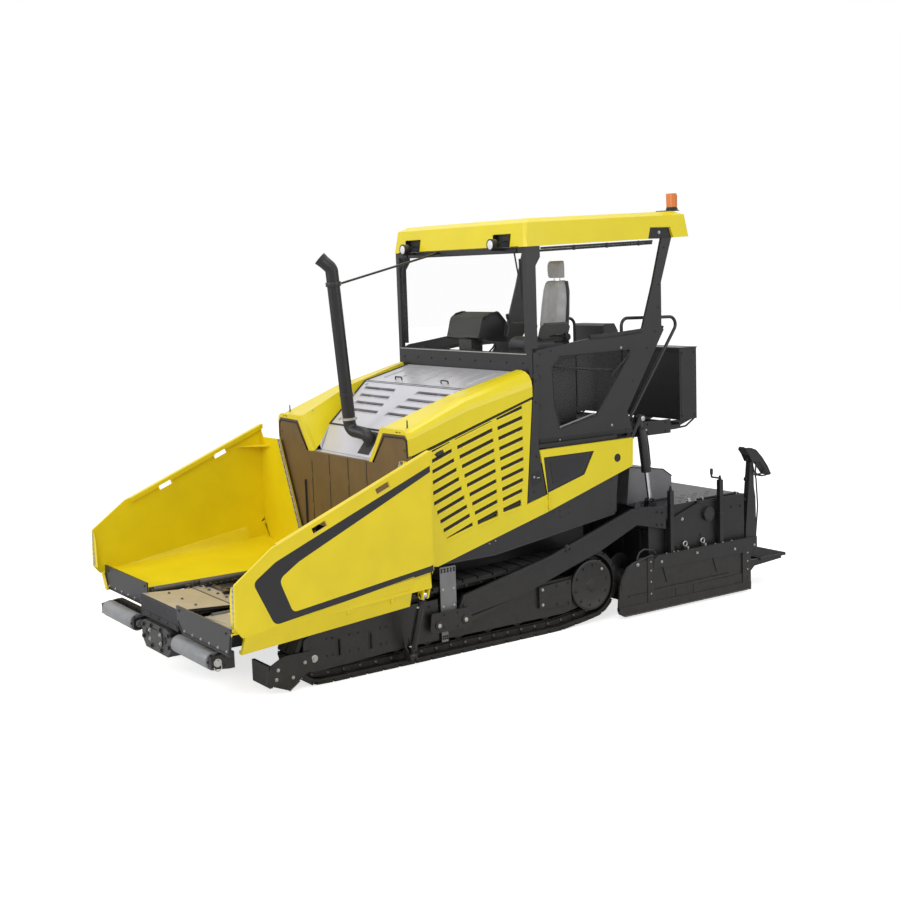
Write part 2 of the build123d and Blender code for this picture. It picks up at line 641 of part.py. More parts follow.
with BuildPart() as roof:
    sections = []
    for inset, level in zip((0.0, 30.0, 110.0), roof_levels):
        with BuildSketch(Plane(origin=(0, at(roof_front_s), roof_low_front + level),
                               x_dir=(1, 0, 0), z_dir=(0, -roof_rise, 1))) as ring:
            with BuildLine():
                x = roof_half - inset
                y0 = inset
                y1 = roof_rear_s - roof_front_s - inset
                Polyline((-x + roof_corner, y0), (x - roof_corner, y0), (x, y0 + roof_corner),
                         (x, y1), (-x, y1), (-x, y0 + roof_corner), close=True)
            make_face()
        sections.append(ring.sketch)
    loft(sections, ruled=True)
    with BuildSketch(Plane(origin=(0, at(roof_front_s), roof_low_front), x_dir=(1, 0, 0),
                           z_dir=(0, -roof_rise, 1))) as under:
        with Locations((0, (roof_rear_s - roof_front_s) / 2)):
            Rectangle(2 * roof_half - 160, roof_rear_s - roof_front_s - 160)
    extrude(under.sketch, amount=150, mode=Mode.SUBTRACT)
    for side in (-1, 1):
        # recess behind each work lamp, and the cut-out near the rear of each side
        block(side * (lamp_x - 130), side * (lamp_x + 140), roof_front_s - 1, roof_front_s + 58,
              roof_low_front - 1, roof_low_front + 130, Mode.SUBTRACT)
        side_plate(((5022, 3785), (5371, 3785), (5333, 3902), (5064, 3902)),
                   side * (roof_half - 34), side * (roof_half + 1), Mode.SUBTRACT)
save(roof.part, "roof")

beacon_x, beacon_s = 985.0, 5518.0
beacon_r, beacon_height = 54.0, 180.0
with BuildPart() as roof_lights:
    for side in (-1, 1):
        bar((side * lamp_x, 3345, 3772), (side * lamp_x, 3400, 3772), 54)
        block(side * (lamp_x - 10), side * (lamp_x + 10), 3350, 3490, 3712,
              roof_low_front - seat_gap)
    with BuildSketch(Plane(origin=(0, at(roof_front_s), roof_low_front + roof_levels[2]),
                           x_dir=(1, 0, 0), z_dir=(0, -roof_rise, 1))) as foot:
        with Locations((beacon_x, beacon_s - roof_front_s)):
            Circle(beacon_r)
    extrude(foot.sketch, amount=beacon_height)
    # plate that carries the beacon past the roof's rear edge
    with BuildSketch(Plane(origin=(0, at(roof_front_s), roof_low_front + roof_levels[2]),
                           x_dir=(1, 0, 0), z_dir=(0, -roof_rise, 1))) as carrier:
        with Locations((beacon_x, beacon_s - 60 - roof_front_s)):
            Rectangle(2 * beacon_r + 20, 2 * beacon_r + 100)
    extrude(carrier.sketch, amount=10)
save(roof_lights.part, "roof_lights")

# ---- exhaust with its stay --------------------------------------------------------------
pipe_r = 62.0
with BuildPart() as exhaust_stack:
    bent_bar(((230, 2290, notch_z + 24), (225, 2230, 2010), (0, 2170, 2040), (0, 2040, 3600),
              (-60, 1950, 3700)), 80, pipe_r)
    bar((230, 2290, notch_z + seat_gap), (230, 2290, notch_z + 60), pipe_r + 16)
save(exhaust_stack.part, "exhaust_stack")
with BuildPart() as exhaust_stay:
    bar((0, 2054, 3432), (0, 2050.7, 3472), pipe_r + 12)
    bar((0, 2110, 3450), (-330, 3486, 3722), 11)
    bar((0, 2170, 2040), (0, 2040, 3600), pipe_r + seat_gap, Mode.SUBTRACT)
save(exhaust_stay.part, "exhaust_stay")

# ---- hopper wings -----------------------------------------------------------------------
wing_plate = 30.0
rim_width, rim_height = 62.0, 46.0
skin_step = 2.0                      # the rim stands this far outside the wall
wing_front_s, wing_rear_s = 150.0, 1996.0
rear_plate_s = 1996.0
rear_plate_thick = 16.0
floor_front_s = 230.0
ram_top_x, ram_top_z = wing_x - 95.0, 722.0
lip_x = wing_x - 35.0                # inner face of the wing's wall, a little in
ram_slot_r, ram_drop = ram_pin_r + 3.5, 14.5
rim_slope = atan2(640, 1575)
wing_outline = ((150, 670), (88, 750), (100, 1110), (450, 1366), (2010, 2000), (2010, 955))


def wing_line(s, z_front, z_rear):
    """Height at a station of a straight edge that rises from the front to the rear."""
    t = (s - wing_front_s) / (wing_rear_s - wing_front_s)
    return z_front + t * (z_rear - z_front)


def wing_section(s, points):
    with BuildSketch(Plane.XZ.offset(-at(s))) as sk:
        with BuildLine():
            Polyline(*points, close=True)
        make_face()
    return sk.sketch


def floor_section(s):
    low, high = 608.0, wing_line(s, 702, 812)
    return wing_section(s, ((690, low), (690, low + 44), (wing_x - wing_plate + 2, high),
                            (wing_x - wing_plate + 2, high - 30), (720, low + 20)))


def flange_section(s):
    fold, low = wing_line(s, 670, 948), wing_line(s, 505, 652)
    return wing_section(s, ((wing_x - wing_plate, fold + 6), (wing_x, fold), (wing_x - 90, low),
                            (wing_x - 135, low + 4), (wing_x - 135, low + 30),
                            (wing_x - 105, low + 30)))


with BuildPart() as hopper_wing:
    with BuildSketch(Plane.YZ.offset(wing_x - wing_plate)) as wall:
        with BuildLine():
            Polyline(*[(at(s), z) for s, z in wing_outline], close=True)
        make_face()
        fillet(wall.vertices().sort_by_distance((wing_x - wing_plate, at(100), 1110))[0:1], 130)
        fillet(wall.vertices().sort_by_distance((wing_x - wing_plate, at(450), 1366))[0:1], 200)
    extrude(wall.sketch, amount=wing_plate - skin_step)
    with BuildSketch(Plane.YZ.offset(wing_x - rim_width)) as rim:
        with BuildLine():
            Polyline((at(500), 1386), (at(2010), 2000), (at(2010), 2000 - rim_height),
                     (at(520), 1386 - rim_height + 8), close=True)
        make_face()
    extrude(rim.sketch, amount=rim_width)
    for s, z in ((895, 1478), (1520, 1732)):
        with BuildSketch(Plane.YZ.offset(wing_x - rim_width - 1)) as slot:
            with Locations(Location((at(s), z), degrees(rim_slope))):
                Rectangle(145, 58)
        extrude(slot.sketch, amount=rim_width + 2, mode=Mode.SUBTRACT)
    loft([floor_section(floor_front_s), floor_section(rear_plate_s)], ruled=True)
    loft([flange_section(170.0), flange_section(1800.0)], ruled=True)
    # web that closes the wall's foot behind the flange's rear end
    side_plate(((1770, 790), (rear_plate_s, 800), (rear_plate_s, 962), (1770, 930)), lip_x - 10,
               wing_x - wing_plate + 2)
    for s in (260.0, 700.0, 1140.0, 1580.0):
        low = wing_line(s, 505, 652)
        fold, floor_top = wing_line(s, 640, 745), wing_line(s, 690, 800)
        cross_plate(((700, 612), (880, 645), (wing_x - 395, 645), (wing_x - 365, low + 40),
                     (wing_x - 135, low + 6), (lip_x, fold), (lip_x, floor_top),
                     (wing_x - 185, floor_top - 50), (700, 640)), s, s + 20)
    # rear plate that closes the hopper toward the bulkhead
    cross_plate(((wing_x - 6, 948), (wing_x - 6, 1950), (wing_x - 75, 1862),
                 (wing_x - 455, 1870), (800, 1000), (700, 660), (wing_x - 135, 770)),
                rear_plate_s, rear_plate_s + rear_plate_thick)
    # hinge tube, cut away round the frame's ears, and its pin
    bar((hinge_x, 320, hinge_z), (hinge_x, rear_plate_s, hinge_z), 32)
    block(hinge_x, 720, 320, rear_plate_s, 604, 648)
    for s in hinge_ears:
        block(hinge_x - 40, 704, s - ear_half - working_gap, s + ear_half + working_gap, 575, 672,
              Mode.SUBTRACT)
    bar((hinge_x, 300, hinge_z), (hinge_x, rear_plate_s, hinge_z), hinge_pin_r)
    # ears of the lifting cylinder's upper pin
    for s0 in (ram_s - ram_eye_half - 14, ram_s + ram_eye_half + 2):
        ear = ((-40, 780), (-32, 694), (-20, 681), (18, 681), (32, 694), (64, 790))
        cross_plate([(ram_top_x + x, z) for x, z in ear], s0, s0 + 12)
    # slot that lets the rod's pin drop as the wing passes the middle of its fold
    with BuildSketch(Plane.XZ.offset(-at(ram_s - 40))) as ear_slot:
        with Locations(Location((ram_top_x - 1.5, ram_top_z - ram_drop / 2), 90)):
            SlotOverall(2 * ram_slot_r + ram_drop, 2 * ram_slot_r)
    extrude(ear_slot.sketch, amount=-80, mode=Mode.SUBTRACT)

flap_thick = 12.0
for name, side, flap_s in (("hopper_wing_left", 1, 62.0), ("hopper_wing_right", -1, 200.0)):
    with BuildPart() as wing_part:
        add(hopper_wing.part if side > 0 else mirror(hopper_wing.part, about=Plane.YZ))
        # front flap, its lower inner corner cut to clear the roller as the wing folds
        flap_points = ((502, 610), (600, 512), (wing_x - 90, 512), (lip_x, 700),
                       (wing_x - 45, 745), (502, 745))
        cross_plate([(side * x, z) for x, z in flap_points], flap_s, flap_s + flap_thick)
        shelf = ((700, 632), (700, 644), (lip_x, 712), (lip_x, 700))
        cross_plate([(side * x, z) for x, z in shelf], flap_s + flap_thick, floor_front_s + 10)
    save(wing_part.part, name)

# ---- lifting cylinders of the wings -----------------------------------------------------
ram_r, ram_rod_r = 32.0, 19.0
ram_low = (ram_low_x, ram_s, ram_low_z)
ram_top = (ram_top_x, ram_s, ram_top_z)
ram_length = hypot(ram_top_x - ram_low_x, ram_top_z - ram_low_z)


def along(start, end, distance):
    """Point at a distance from start toward end, as (x, station, z)."""
    total = sqrt(sum((b - a) ** 2 for a, b in zip(start, end)))
    return tuple(a + (b - a) * distance / total for a, b in zip(start, end))


with BuildPart() as wing_barrel:
    bar((ram_low_x, ram_s - ram_eye_half, ram_low_z), (ram_low_x, ram_s + ram_eye_half, ram_low_z),
        34)
    bar(ram_low, along(ram_low, ram_top, 73), 18.5)
    bar(along(ram_low, ram_top, 72), along(ram_low, ram_top, ram_length - 62), ram_r)
    bar(along(ram_low, ram_top, 77), along(ram_low, ram_top, ram_length), ram_rod_r + seat_gap,
        Mode.SUBTRACT)
    bar((ram_low_x, ram_s - 40, ram_low_z), (ram_low_x, ram_s + 40, ram_low_z),
        ram_pin_r + seat_gap, Mode.SUBTRACT)
save_pair(wing_barrel.part, "wing_barrel")

with BuildPart() as wing_rod:
    bar(along(ram_low, ram_top, 79), along(ram_low, ram_top, ram_length - 20), ram_rod_r)
    bar((ram_top_x, ram_s - ram_eye_half, ram_top_z), (ram_top_x, ram_s + ram_eye_half, ram_top_z),
        34)
    bar((ram_top_x, ram_s - 40, ram_top_z), (ram_top_x, ram_s + 40, ram_top_z), ram_pin_r)
save_pair(wing_rod.part, "wing_rod")

# ---- front apron between the wing flaps, push beam, push rollers ------------------------
apron_half = 430.0
apron_hinge_s, apron_hinge_z = 640.0, 612.0
with BuildPart() as front_apron:
    side_plate(((104, 500), (104, 668), (118, 676), (640, 640), (640, 622), (124, 656), (118, 500)),
               -apron_half, apron_half)
    for x in (-380, 0, 380):
        side_plate(((118, 520), (118, 660), (560, 630), (560, 610), (200, 590)), x - 8, x + 8)
    bar((-apron_half, apron_hinge_s, apron_hinge_z), (apron_half, apron_hinge_s, apron_hinge_z), 22)
    for side in (-1, 1):
        bar((side * (apron_half - 60), apron_hinge_s, apron_hinge_z),
            (side * 622, apron_hinge_s, apron_hinge_z), 14)
save(front_apron.part, "front_apron")

roller_s, roller_axis_z, push_roller_r = 80.0, 400.0, 80.0
push_in, push_out = 480.0, 1200.0
with BuildPart() as push_beam:
    side_plate(((182, 330), (182, 470), (236, 470), (236, 330)), -1262, 1262)
    with BuildSketch(Plane.XZ.offset(-at(60))) as nose:
        with BuildLine():
            Polyline((-330, 300), (-250, 225), (250, 225), (330, 300), (330, 455), (250, 480),
                     (-250, 480), (-330, 455), close=True)
        make_face()
    extrude(nose.sketch, amount=-176)
    block(-70, 70, 236, 330, 366, 464)
    bar((0, beam_pivot_s, 340), (0, beam_pivot_s, 490), 30 + seat_gap, Mode.SUBTRACT)
    for side in (-1, 1):
        for x0, x1 in ((330, 470), (1214, 1262)):
            side_plate(((20, 350), (20, 450), (182, 470), (182, 330)), side * (470 if x0 == 330 else
                       x0) - side * (40 if x0 == 330 else 0), side * x1)
        bar((side * 425, roller_s, roller_axis_z), (side * 1265, roller_s, roller_axis_z),
            22 + seat_gap, Mode.SUBTRACT)
save(push_beam.part, "push_beam")

with BuildPart() as push_roller:
    bar((push_in, roller_s, roller_axis_z), (push_out, roller_s, roller_axis_z), push_roller_r)
    bar((442, roller_s, roller_axis_z), (1250, roller_s, roller_axis_z), 22)
save_pair(push_roller.part, "push_roller")

# ---- augers ahead of the screed ---------------------------------------------------------
auger_s, auger_z, auger_r = 4705.0, 400.0, 200.0
auger_pitch, auger_turns, auger_shaft_r = 300.0, 3.5, 45.0
auger_gap = 90.0                     # from the machine's middle to the flight's start
with BuildPart() as auger:
    bar((40, auger_s, auger_z), (70 + auger_pitch * auger_turns + 20, auger_s, auger_z),
        auger_shaft_r)
    # flight: a radial strip carried along a helix about the shaft
    mid_r = (auger_r + auger_shaft_r) / 2
    flight_start = Vector(auger_gap, at(auger_s), auger_z)
    with BuildLine() as helix:
        Helix(pitch=auger_pitch, height=auger_pitch * auger_turns, radius=mid_r,
              center=flight_start, direction=(1, 0, 0))
    radial = (helix.line @ 0) - flight_start
    with BuildSketch(Plane(origin=helix.line @ 0, x_dir=radial, z_dir=helix.line % 0)) as strip:
        Rectangle(auger_r - auger_shaft_r + 8, 14)
    sweep(strip.sketch, path=helix.line, is_frenet=True)
save_pair(auger.part, "auger")

# ---- screed: tow arms, main box, cover ---------------------------------------------------
screed_front_s, main_rear_s, screed_rear_s = 4930.0, 5590.0, 6290.0
screed_low, screed_top = 24.0, 1060.0
screed_wall = 30.0
with BuildPart() as tow_arms:
    for side in (-1, 1):
        side_plate(((2500, 300), (2500, 410), (2560, 560), (3590, 780), (4640, 1100), (4900, 1090),
                    (5110, 1065), (5105, 840), (4890, 890), (4710, 930), (4250, 745),
                    (3210, 440), (2600, 290)), side * arm_in, side * arm_out)
        bar((side * (arm_in - 1), tow_s, tow_z), (side * (arm_out + 1), tow_s, tow_z),
            tow_pin_r + seat_gap, Mode.SUBTRACT)
save(tow_arms.part, "tow_arms")

tube_s, tube_r = 5240.0, 50.0
tube_heights = (300.0, 780.0)
hoist_low_s, hoist_low_z = 5060.0, 1115.0
hoist_top_s, hoist_top_z = 4936.0, 1984.0
hoist_pin_r, hoist_drift = 16.0, 10.0
with BuildPart() as screed_frame:
    block(-screed_x, screed_x, screed_front_s, main_rear_s, screed_low, screed_top)
    block(-screed_x + screed_wall, screed_x - screed_wall, screed_front_s + screed_wall,
          main_rear_s + 1, 70, screed_top - screed_wall, Mode.SUBTRACT)
    block(-20, 20, screed_front_s, main_rear_s, 70, screed_top)
    for z in tube_heights:
        bar((-screed_x - 1, tube_s, z), (screed_x + 1, tube_s, z), tube_r + seat_gap, Mode.SUBTRACT)
    for side in (-1, 1):
        block(side * screed_x, side * arm_in, 4970, 5090, 870, 1050)
        for x0 in (hoist_x - 38, hoist_x + 26):
            side_plate(((hoist_low_s - 56, screed_top), (hoist_low_s + 50, screed_top),
                        (hoist_low_s + 36, hoist_low_z + 8), (hoist_low_s + 18, hoist_low_z + 32),
                        (hoist_low_s - 27, hoist_low_z + 32), (hoist_low_s - 46, hoist_low_z + 8)),
                       side * x0, side * (x0 + 12))
        # slot that lets the rod's pin move forward halfway through the lift
        with BuildSketch(Plane.YZ.offset(side * (hoist_x - 40))) as ear_slot:
            with Locations((at(hoist_low_s - hoist_drift / 2), hoist_low_z - 1)):
                SlotOverall(2 * (hoist_pin_r + 3) + hoist_drift, 2 * (hoist_pin_r + 3))
        extrude(ear_slot.sketch, amount=side * 80, mode=Mode.SUBTRACT)
save(screed_frame.part, "screed_frame")

with BuildPart() as screed_cover:
    side_plate(((4950, screed_top), (4990, 1450), (5460, 1380), (5580, 1300), (5585, screed_top)),
               -860, 860)
save(screed_cover.part, "screed_cover")

# ---- screed extensions with step and posts, end gates, consoles -------------------------
ext_front_s = main_rear_s + 10
ext_in = 6.0
cap_in, cap_out = screed_x + 6.0, screed_x + 26.0
gate_in, gate_out = screed_x + 84.0, screed_x + 104.0
step_in, step_z = 790.0, 318.0
with BuildPart() as extension:
    block(ext_in, screed_x, ext_front_s, screed_rear_s, screed_low, screed_top)
    block(ext_in + screed_wall, screed_x - screed_wall, ext_front_s + screed_wall,
          screed_rear_s - screed_wall, 70, screed_top - screed_wall, Mode.SUBTRACT)
    block(screed_x, cap_out, ext_front_s, screed_rear_s, screed_low, screed_top)
    side_plate(((5150, 120), (5150, 900), (ext_front_s, 1040), (ext_front_s, 40)), cap_in, cap_out)
    for z in tube_heights:
        bar((30, tube_s, z), (cap_out, tube_s, z), tube_r)
    bar((cap_out, 5745, 910), (cap_out + 26, 5745, 910), 74)
    bar((screed_x - screed_wall - 5, 5745, 910), (cap_out + 30, 5745, 910), 40, Mode.SUBTRACT)
    # brackets and posts that carry the end gate
    for s, top in ((5180, 1230), (5890, 1260)):
        block(cap_out + 18, gate_in + 6, s - 25, s + 25, 592, top)
        for z in (640, 860):
            block(cap_out, cap_out + 18, s - 20, s + 40, z, z + 50)
    # flat step behind, on three brackets
    block(step_in, cap_out, screed_rear_s + 250, overall_length, step_z - 26, step_z)
    for x in (step_in + 10, (step_in + cap_out) / 2, cap_out - 36):
        side_plate(((screed_rear_s, 180), (screed_rear_s, step_z - 10),
                    (screed_rear_s + 260, step_z - 10), (overall_length - 50, step_z - 20),
                    (overall_length - 50, step_z - 56), (screed_rear_s + 180, 236),
                    (screed_rear_s + 120, 190)), x, x + 16)
save_pair(extension.part, "extension")

gate_skin = 12.0
gate_rail_out = gate_out + 14.0
post_front_s, post_rear_s = 4812.0, screed_rear_s - 114.0
with BuildPart() as end_gate:
    # thin panel, its rounded nose in full thickness
    side_plate(((4700, 110), (4700, 592), (screed_rear_s - 10, 592), (screed_rear_s - 10, 110)),
               gate_in, gate_in + gate_skin)
    side_plate(((4420, 110), (4440, 330), (4470, 425), (4535, 520), (4630, 565), (post_front_s, 560),
                (post_front_s, 110)), gate_in, gate_out)
    # top rail, its front corner cut, its rear end cut below
    side_plate(((4895, 548), (4950, 592), (screed_rear_s + 100, 592), (screed_rear_s + 100, 474),
                (screed_rear_s + 10, 440), (4895, 462)), gate_in - 8, gate_rail_out)
    # upright channels at the front and rear
    side_plate(((post_front_s, 60), (post_front_s, 575), (4895, 575), (4895, 60)), gate_in,
               gate_out + 8)
    side_plate(((post_rear_s, 60), (post_rear_s, 470), (screed_rear_s + 10, 470),
                (screed_rear_s + 10, 60)), gate_in, gate_out + 8)
    # ledge and the sloped panel under it
    side_plate(((4890, 212), (4890, 240), (5985, 250), (5985, 222)), gate_in, gate_out + 10)
    side_plate(((4890, 110), (4890, 214), (post_rear_s + 5, 214), (post_rear_s + 5, 110)), gate_in,
               gate_out)
    for s in (5024, 5735):
        side_plate(((s, 470), (s + 96, 470), (s + 60, 290)), gate_in, gate_out + 2)
    # sole on the ground, turned up at the front
    side_plate(((4425, 96), (4440, 58), (4500, 24), (screed_rear_s + 10, 24),
                (screed_rear_s + 10, 112), (4425, 124)), gate_in - 8, gate_out + 12)
save_pair(end_gate.part, "end_gate")

post_x, head_x = 1150.0, 1130.0
with BuildPart() as screed_console:
    r = screed_rear_s
    side_plate(((r + 34, 440), (r + 34, 620), (r + 62, 914), (r + 102, 1295), (r + 112, 1400),
                (r + 158, 1400), (r + 165, 1120), (r + 188, 1000), (r + 200, 600), (r + 200, 440)),
               post_x, post_x + 66)
    block(post_x, post_x + 66, r, r + 40, 460, 560)
    # curved panel, hollow underneath
    side_plate(((r + 20, 1520), (r + 34, 1548), (r + 90, 1538), (r + 160, 1512), (r + 250, 1427),
                (r + 340, 1313), (r + 388, 1229), (r + 366, 1220), (r + 290, 1310), (r + 220, 1385),
                (r + 165, 1395), (r + 105, 1390), (r + 60, 1470)), head_x, head_x + 120)
save_pair(screed_console.part, "screed_console")

# ---- hoist cylinders ---------------------------------------------------------------------
hoist_r, hoist_rod_r = 48.0, 24.0
hoist_top = (hoist_x, hoist_top_s, hoist_top_z)
hoist_low = (hoist_x, hoist_low_s, hoist_low_z)
hoist_length = hypot(hoist_low_s - hoist_top_s, hoist_low_z - hoist_top_z)
hoist_barrel_length = 565.0
with BuildPart() as hoist_barrel:
    bar((hoist_x - 24, hoist_top_s, hoist_top_z), (hoist_x + 24, hoist_top_s, hoist_top_z), 40)
    bar(hoist_top, along(hoist_top, hoist_low, 92), 26)
    bar(along(hoist_top, hoist_low, 90), along(hoist_top, hoist_low, hoist_barrel_length), hoist_r)
    bar(along(hoist_top, hoist_low, 120), along(hoist_top, hoist_low, hoist_length),
        hoist_rod_r + seat_gap, Mode.SUBTRACT)
    bar((hoist_x - 60, hoist_top_s, hoist_top_z), (hoist_x + 60, hoist_top_s, hoist_top_z),
        18 + seat_gap, Mode.SUBTRACT)
save_pair(hoist_barrel.part, "hoist_barrel")

with BuildPart() as hoist_rod:
    bar(along(hoist_top, hoist_low, 396), along(hoist_top, hoist_low, hoist_length - 20),
        hoist_rod_r)
    bar((hoist_x - 21, hoist_low_s, hoist_low_z), (hoist_x + 21, hoist_low_s, hoist_low_z), 34)
    bar((hoist_x - 42, hoist_low_s, hoist_low_z), (hoist_x + 42, hoist_low_s, hoist_low_z),
        hoist_pin_r)
save_pair(hoist_rod.part, "hoist_rod")

# ---- hoist mounts, seat, console, rear box, rails ---------------------------------------
with BuildPart() as hoist_mounts:
    for side in (-1, 1):
        for x0 in (hoist_x - 44, hoist_x + 30):
            side_plate(((4520, 1500), (4520, 1818), (4780, 1818), (4900, 2016), (4960, 2016),
                        (4975, 1984), (4940, 1950), (4870, 1900), (4760, 1700), (4700, 1560)),
                       side * x0, side * (x0 + 14))
        bar((side * (hoist_x - 46), hoist_top_s, hoist_top_z), (side * (hoist_x + 46), hoist_top_s,
            hoist_top_z), 18)
save(hoist_mounts.part, "hoist_mounts")

seat_x, seat_s = 700.0, 3950.0
seat_z = 2732.0
with BuildPart() as seat_base:
    x = seat_x
    block(x - 220, x + 220, seat_s - 220, seat_s + 300, platform_z, seat_z - 60)
    block(x - 200, x + 200, seat_s - 220, seat_s + 240, seat_z - 60, seat_z)
save(seat_base.part, "seat_base")

with BuildPart() as seat:
    block(x - 240, x + 240, seat_s - 235, seat_s + 240, seat_z + seat_gap, seat_z + 130)
    side_plate(((seat_s + 150, seat_z + 100), (seat_s + 210, seat_z + 690),
                (seat_s + 315, seat_z + 690), (seat_s + 270, seat_z + 100)), x - 200, x + 200)
    side_plate(((seat_s + 212, seat_z + 680), (seat_s + 216, seat_z + 872),
                (seat_s + 306, seat_z + 872), (seat_s + 306, seat_z + 680)), x - 116, x + 116)
save(seat.part, "operator_seat")

with BuildPart() as operator_console:
    block(-110, 110, 3560, 3700, 2545, 2840)
    block(-cab_out + 60, cab_out - 60, 3532, 3700, 2480, 2600)
    side_plate(((3560, 2860), (3620, 3060), (3800, 3110), (3960, 2900), (3900, 2800)), -330, 230)
save(operator_console.part, "operator_console")

box_half = 900.0
rail_x, hoop_x = walkway_half - 30.0, 640.0
with BuildPart() as rear_box:
    block(-box_half, box_half, 5680, 5925, 1885, 2640)
    # brackets that carry it from the walkway's rear edge
    for x in (-box_half + 30, -330, 314, box_half - 46):
        side_plate(((5560, 1790), (5600, 1790), (5900, 1886), (5560, 1886)), x, x + 16)
save(rear_box.part, "rear_box")

rail_r = 17.0
with BuildPart() as platform_rails:
    # stair rail on the near side, plain hoop on the far side
    bent_bar(((rail_x, 4790, platform_z), (rail_x, 4790, 3005), (rail_x, 5605, 2985),
              (rail_x, 4870, 1965), (rail_x, 4870, platform_z)), 80, rail_r)
    bent_bar(((-hoop_x, 5530, platform_z), (-hoop_x, 5530, 2955), (-hoop_x, 5100, 2960),
              (-hoop_x, 5100, platform_z)), 80, rail_r)
save(platform_rails.part, "platform_rails")
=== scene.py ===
from math import acos, atan2, cos, hypot, pi, radians, sin, sqrt, tan
import bmesh
import bpy
from mathutils import Matrix, Vector


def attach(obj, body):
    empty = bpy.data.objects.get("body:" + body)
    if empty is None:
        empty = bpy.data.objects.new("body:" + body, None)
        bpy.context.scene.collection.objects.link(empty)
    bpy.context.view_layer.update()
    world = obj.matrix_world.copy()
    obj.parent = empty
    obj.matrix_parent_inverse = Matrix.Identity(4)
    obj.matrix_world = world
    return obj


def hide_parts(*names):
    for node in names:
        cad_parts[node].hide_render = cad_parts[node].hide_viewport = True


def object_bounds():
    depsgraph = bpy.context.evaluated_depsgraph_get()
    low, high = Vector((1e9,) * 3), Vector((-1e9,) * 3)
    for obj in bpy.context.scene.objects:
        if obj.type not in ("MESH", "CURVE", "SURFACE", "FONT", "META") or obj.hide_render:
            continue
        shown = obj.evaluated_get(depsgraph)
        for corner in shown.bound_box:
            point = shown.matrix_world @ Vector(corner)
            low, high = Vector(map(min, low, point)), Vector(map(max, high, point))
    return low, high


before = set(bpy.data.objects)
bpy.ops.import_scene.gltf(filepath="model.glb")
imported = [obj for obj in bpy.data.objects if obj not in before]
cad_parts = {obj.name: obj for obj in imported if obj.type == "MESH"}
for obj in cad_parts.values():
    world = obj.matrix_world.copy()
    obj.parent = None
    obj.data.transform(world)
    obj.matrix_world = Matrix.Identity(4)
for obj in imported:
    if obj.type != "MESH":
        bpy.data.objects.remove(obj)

cad_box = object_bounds()
front_y = cad_box[0][1]
X1, Y1, Z1 = Vector((1, 0, 0)), Vector((0, 1, 0)), Vector((0, 0, 1))


def P(x, s, z):
    """Point from x, station (distance behind the push rollers' front) and height, in mm."""
    return Vector((x / 1000, front_y + s / 1000, z / 1000))


# ---- materials ------------------------------------------------------------------------
def lin(r, g, b):
    return tuple(((c / 255 + 0.055) / 1.055) ** 2.4 if c > 10 else c / 255 / 12.92
                 for c in (r, g, b)) + (1.0,)


def shader(tree, kind, values=None, links=None, **settings):
    """Node with its settings, the values of its sockets and the links into it."""
    node = tree.nodes.new("ShaderNode" + kind)
    for key, value in settings.items():
        setattr(node, key, value)
    for key, value in (values or {}).items():
        node.inputs[key].default_value = value
    for key, source in (links or {}).items():
        tree.links.new(source, node.inputs[key])
    return node


def new_material(name):
    m = bpy.data.materials.new(name)
    m.use_nodes = True
    return m, m.node_tree, m.node_tree.nodes["Principled BSDF"]


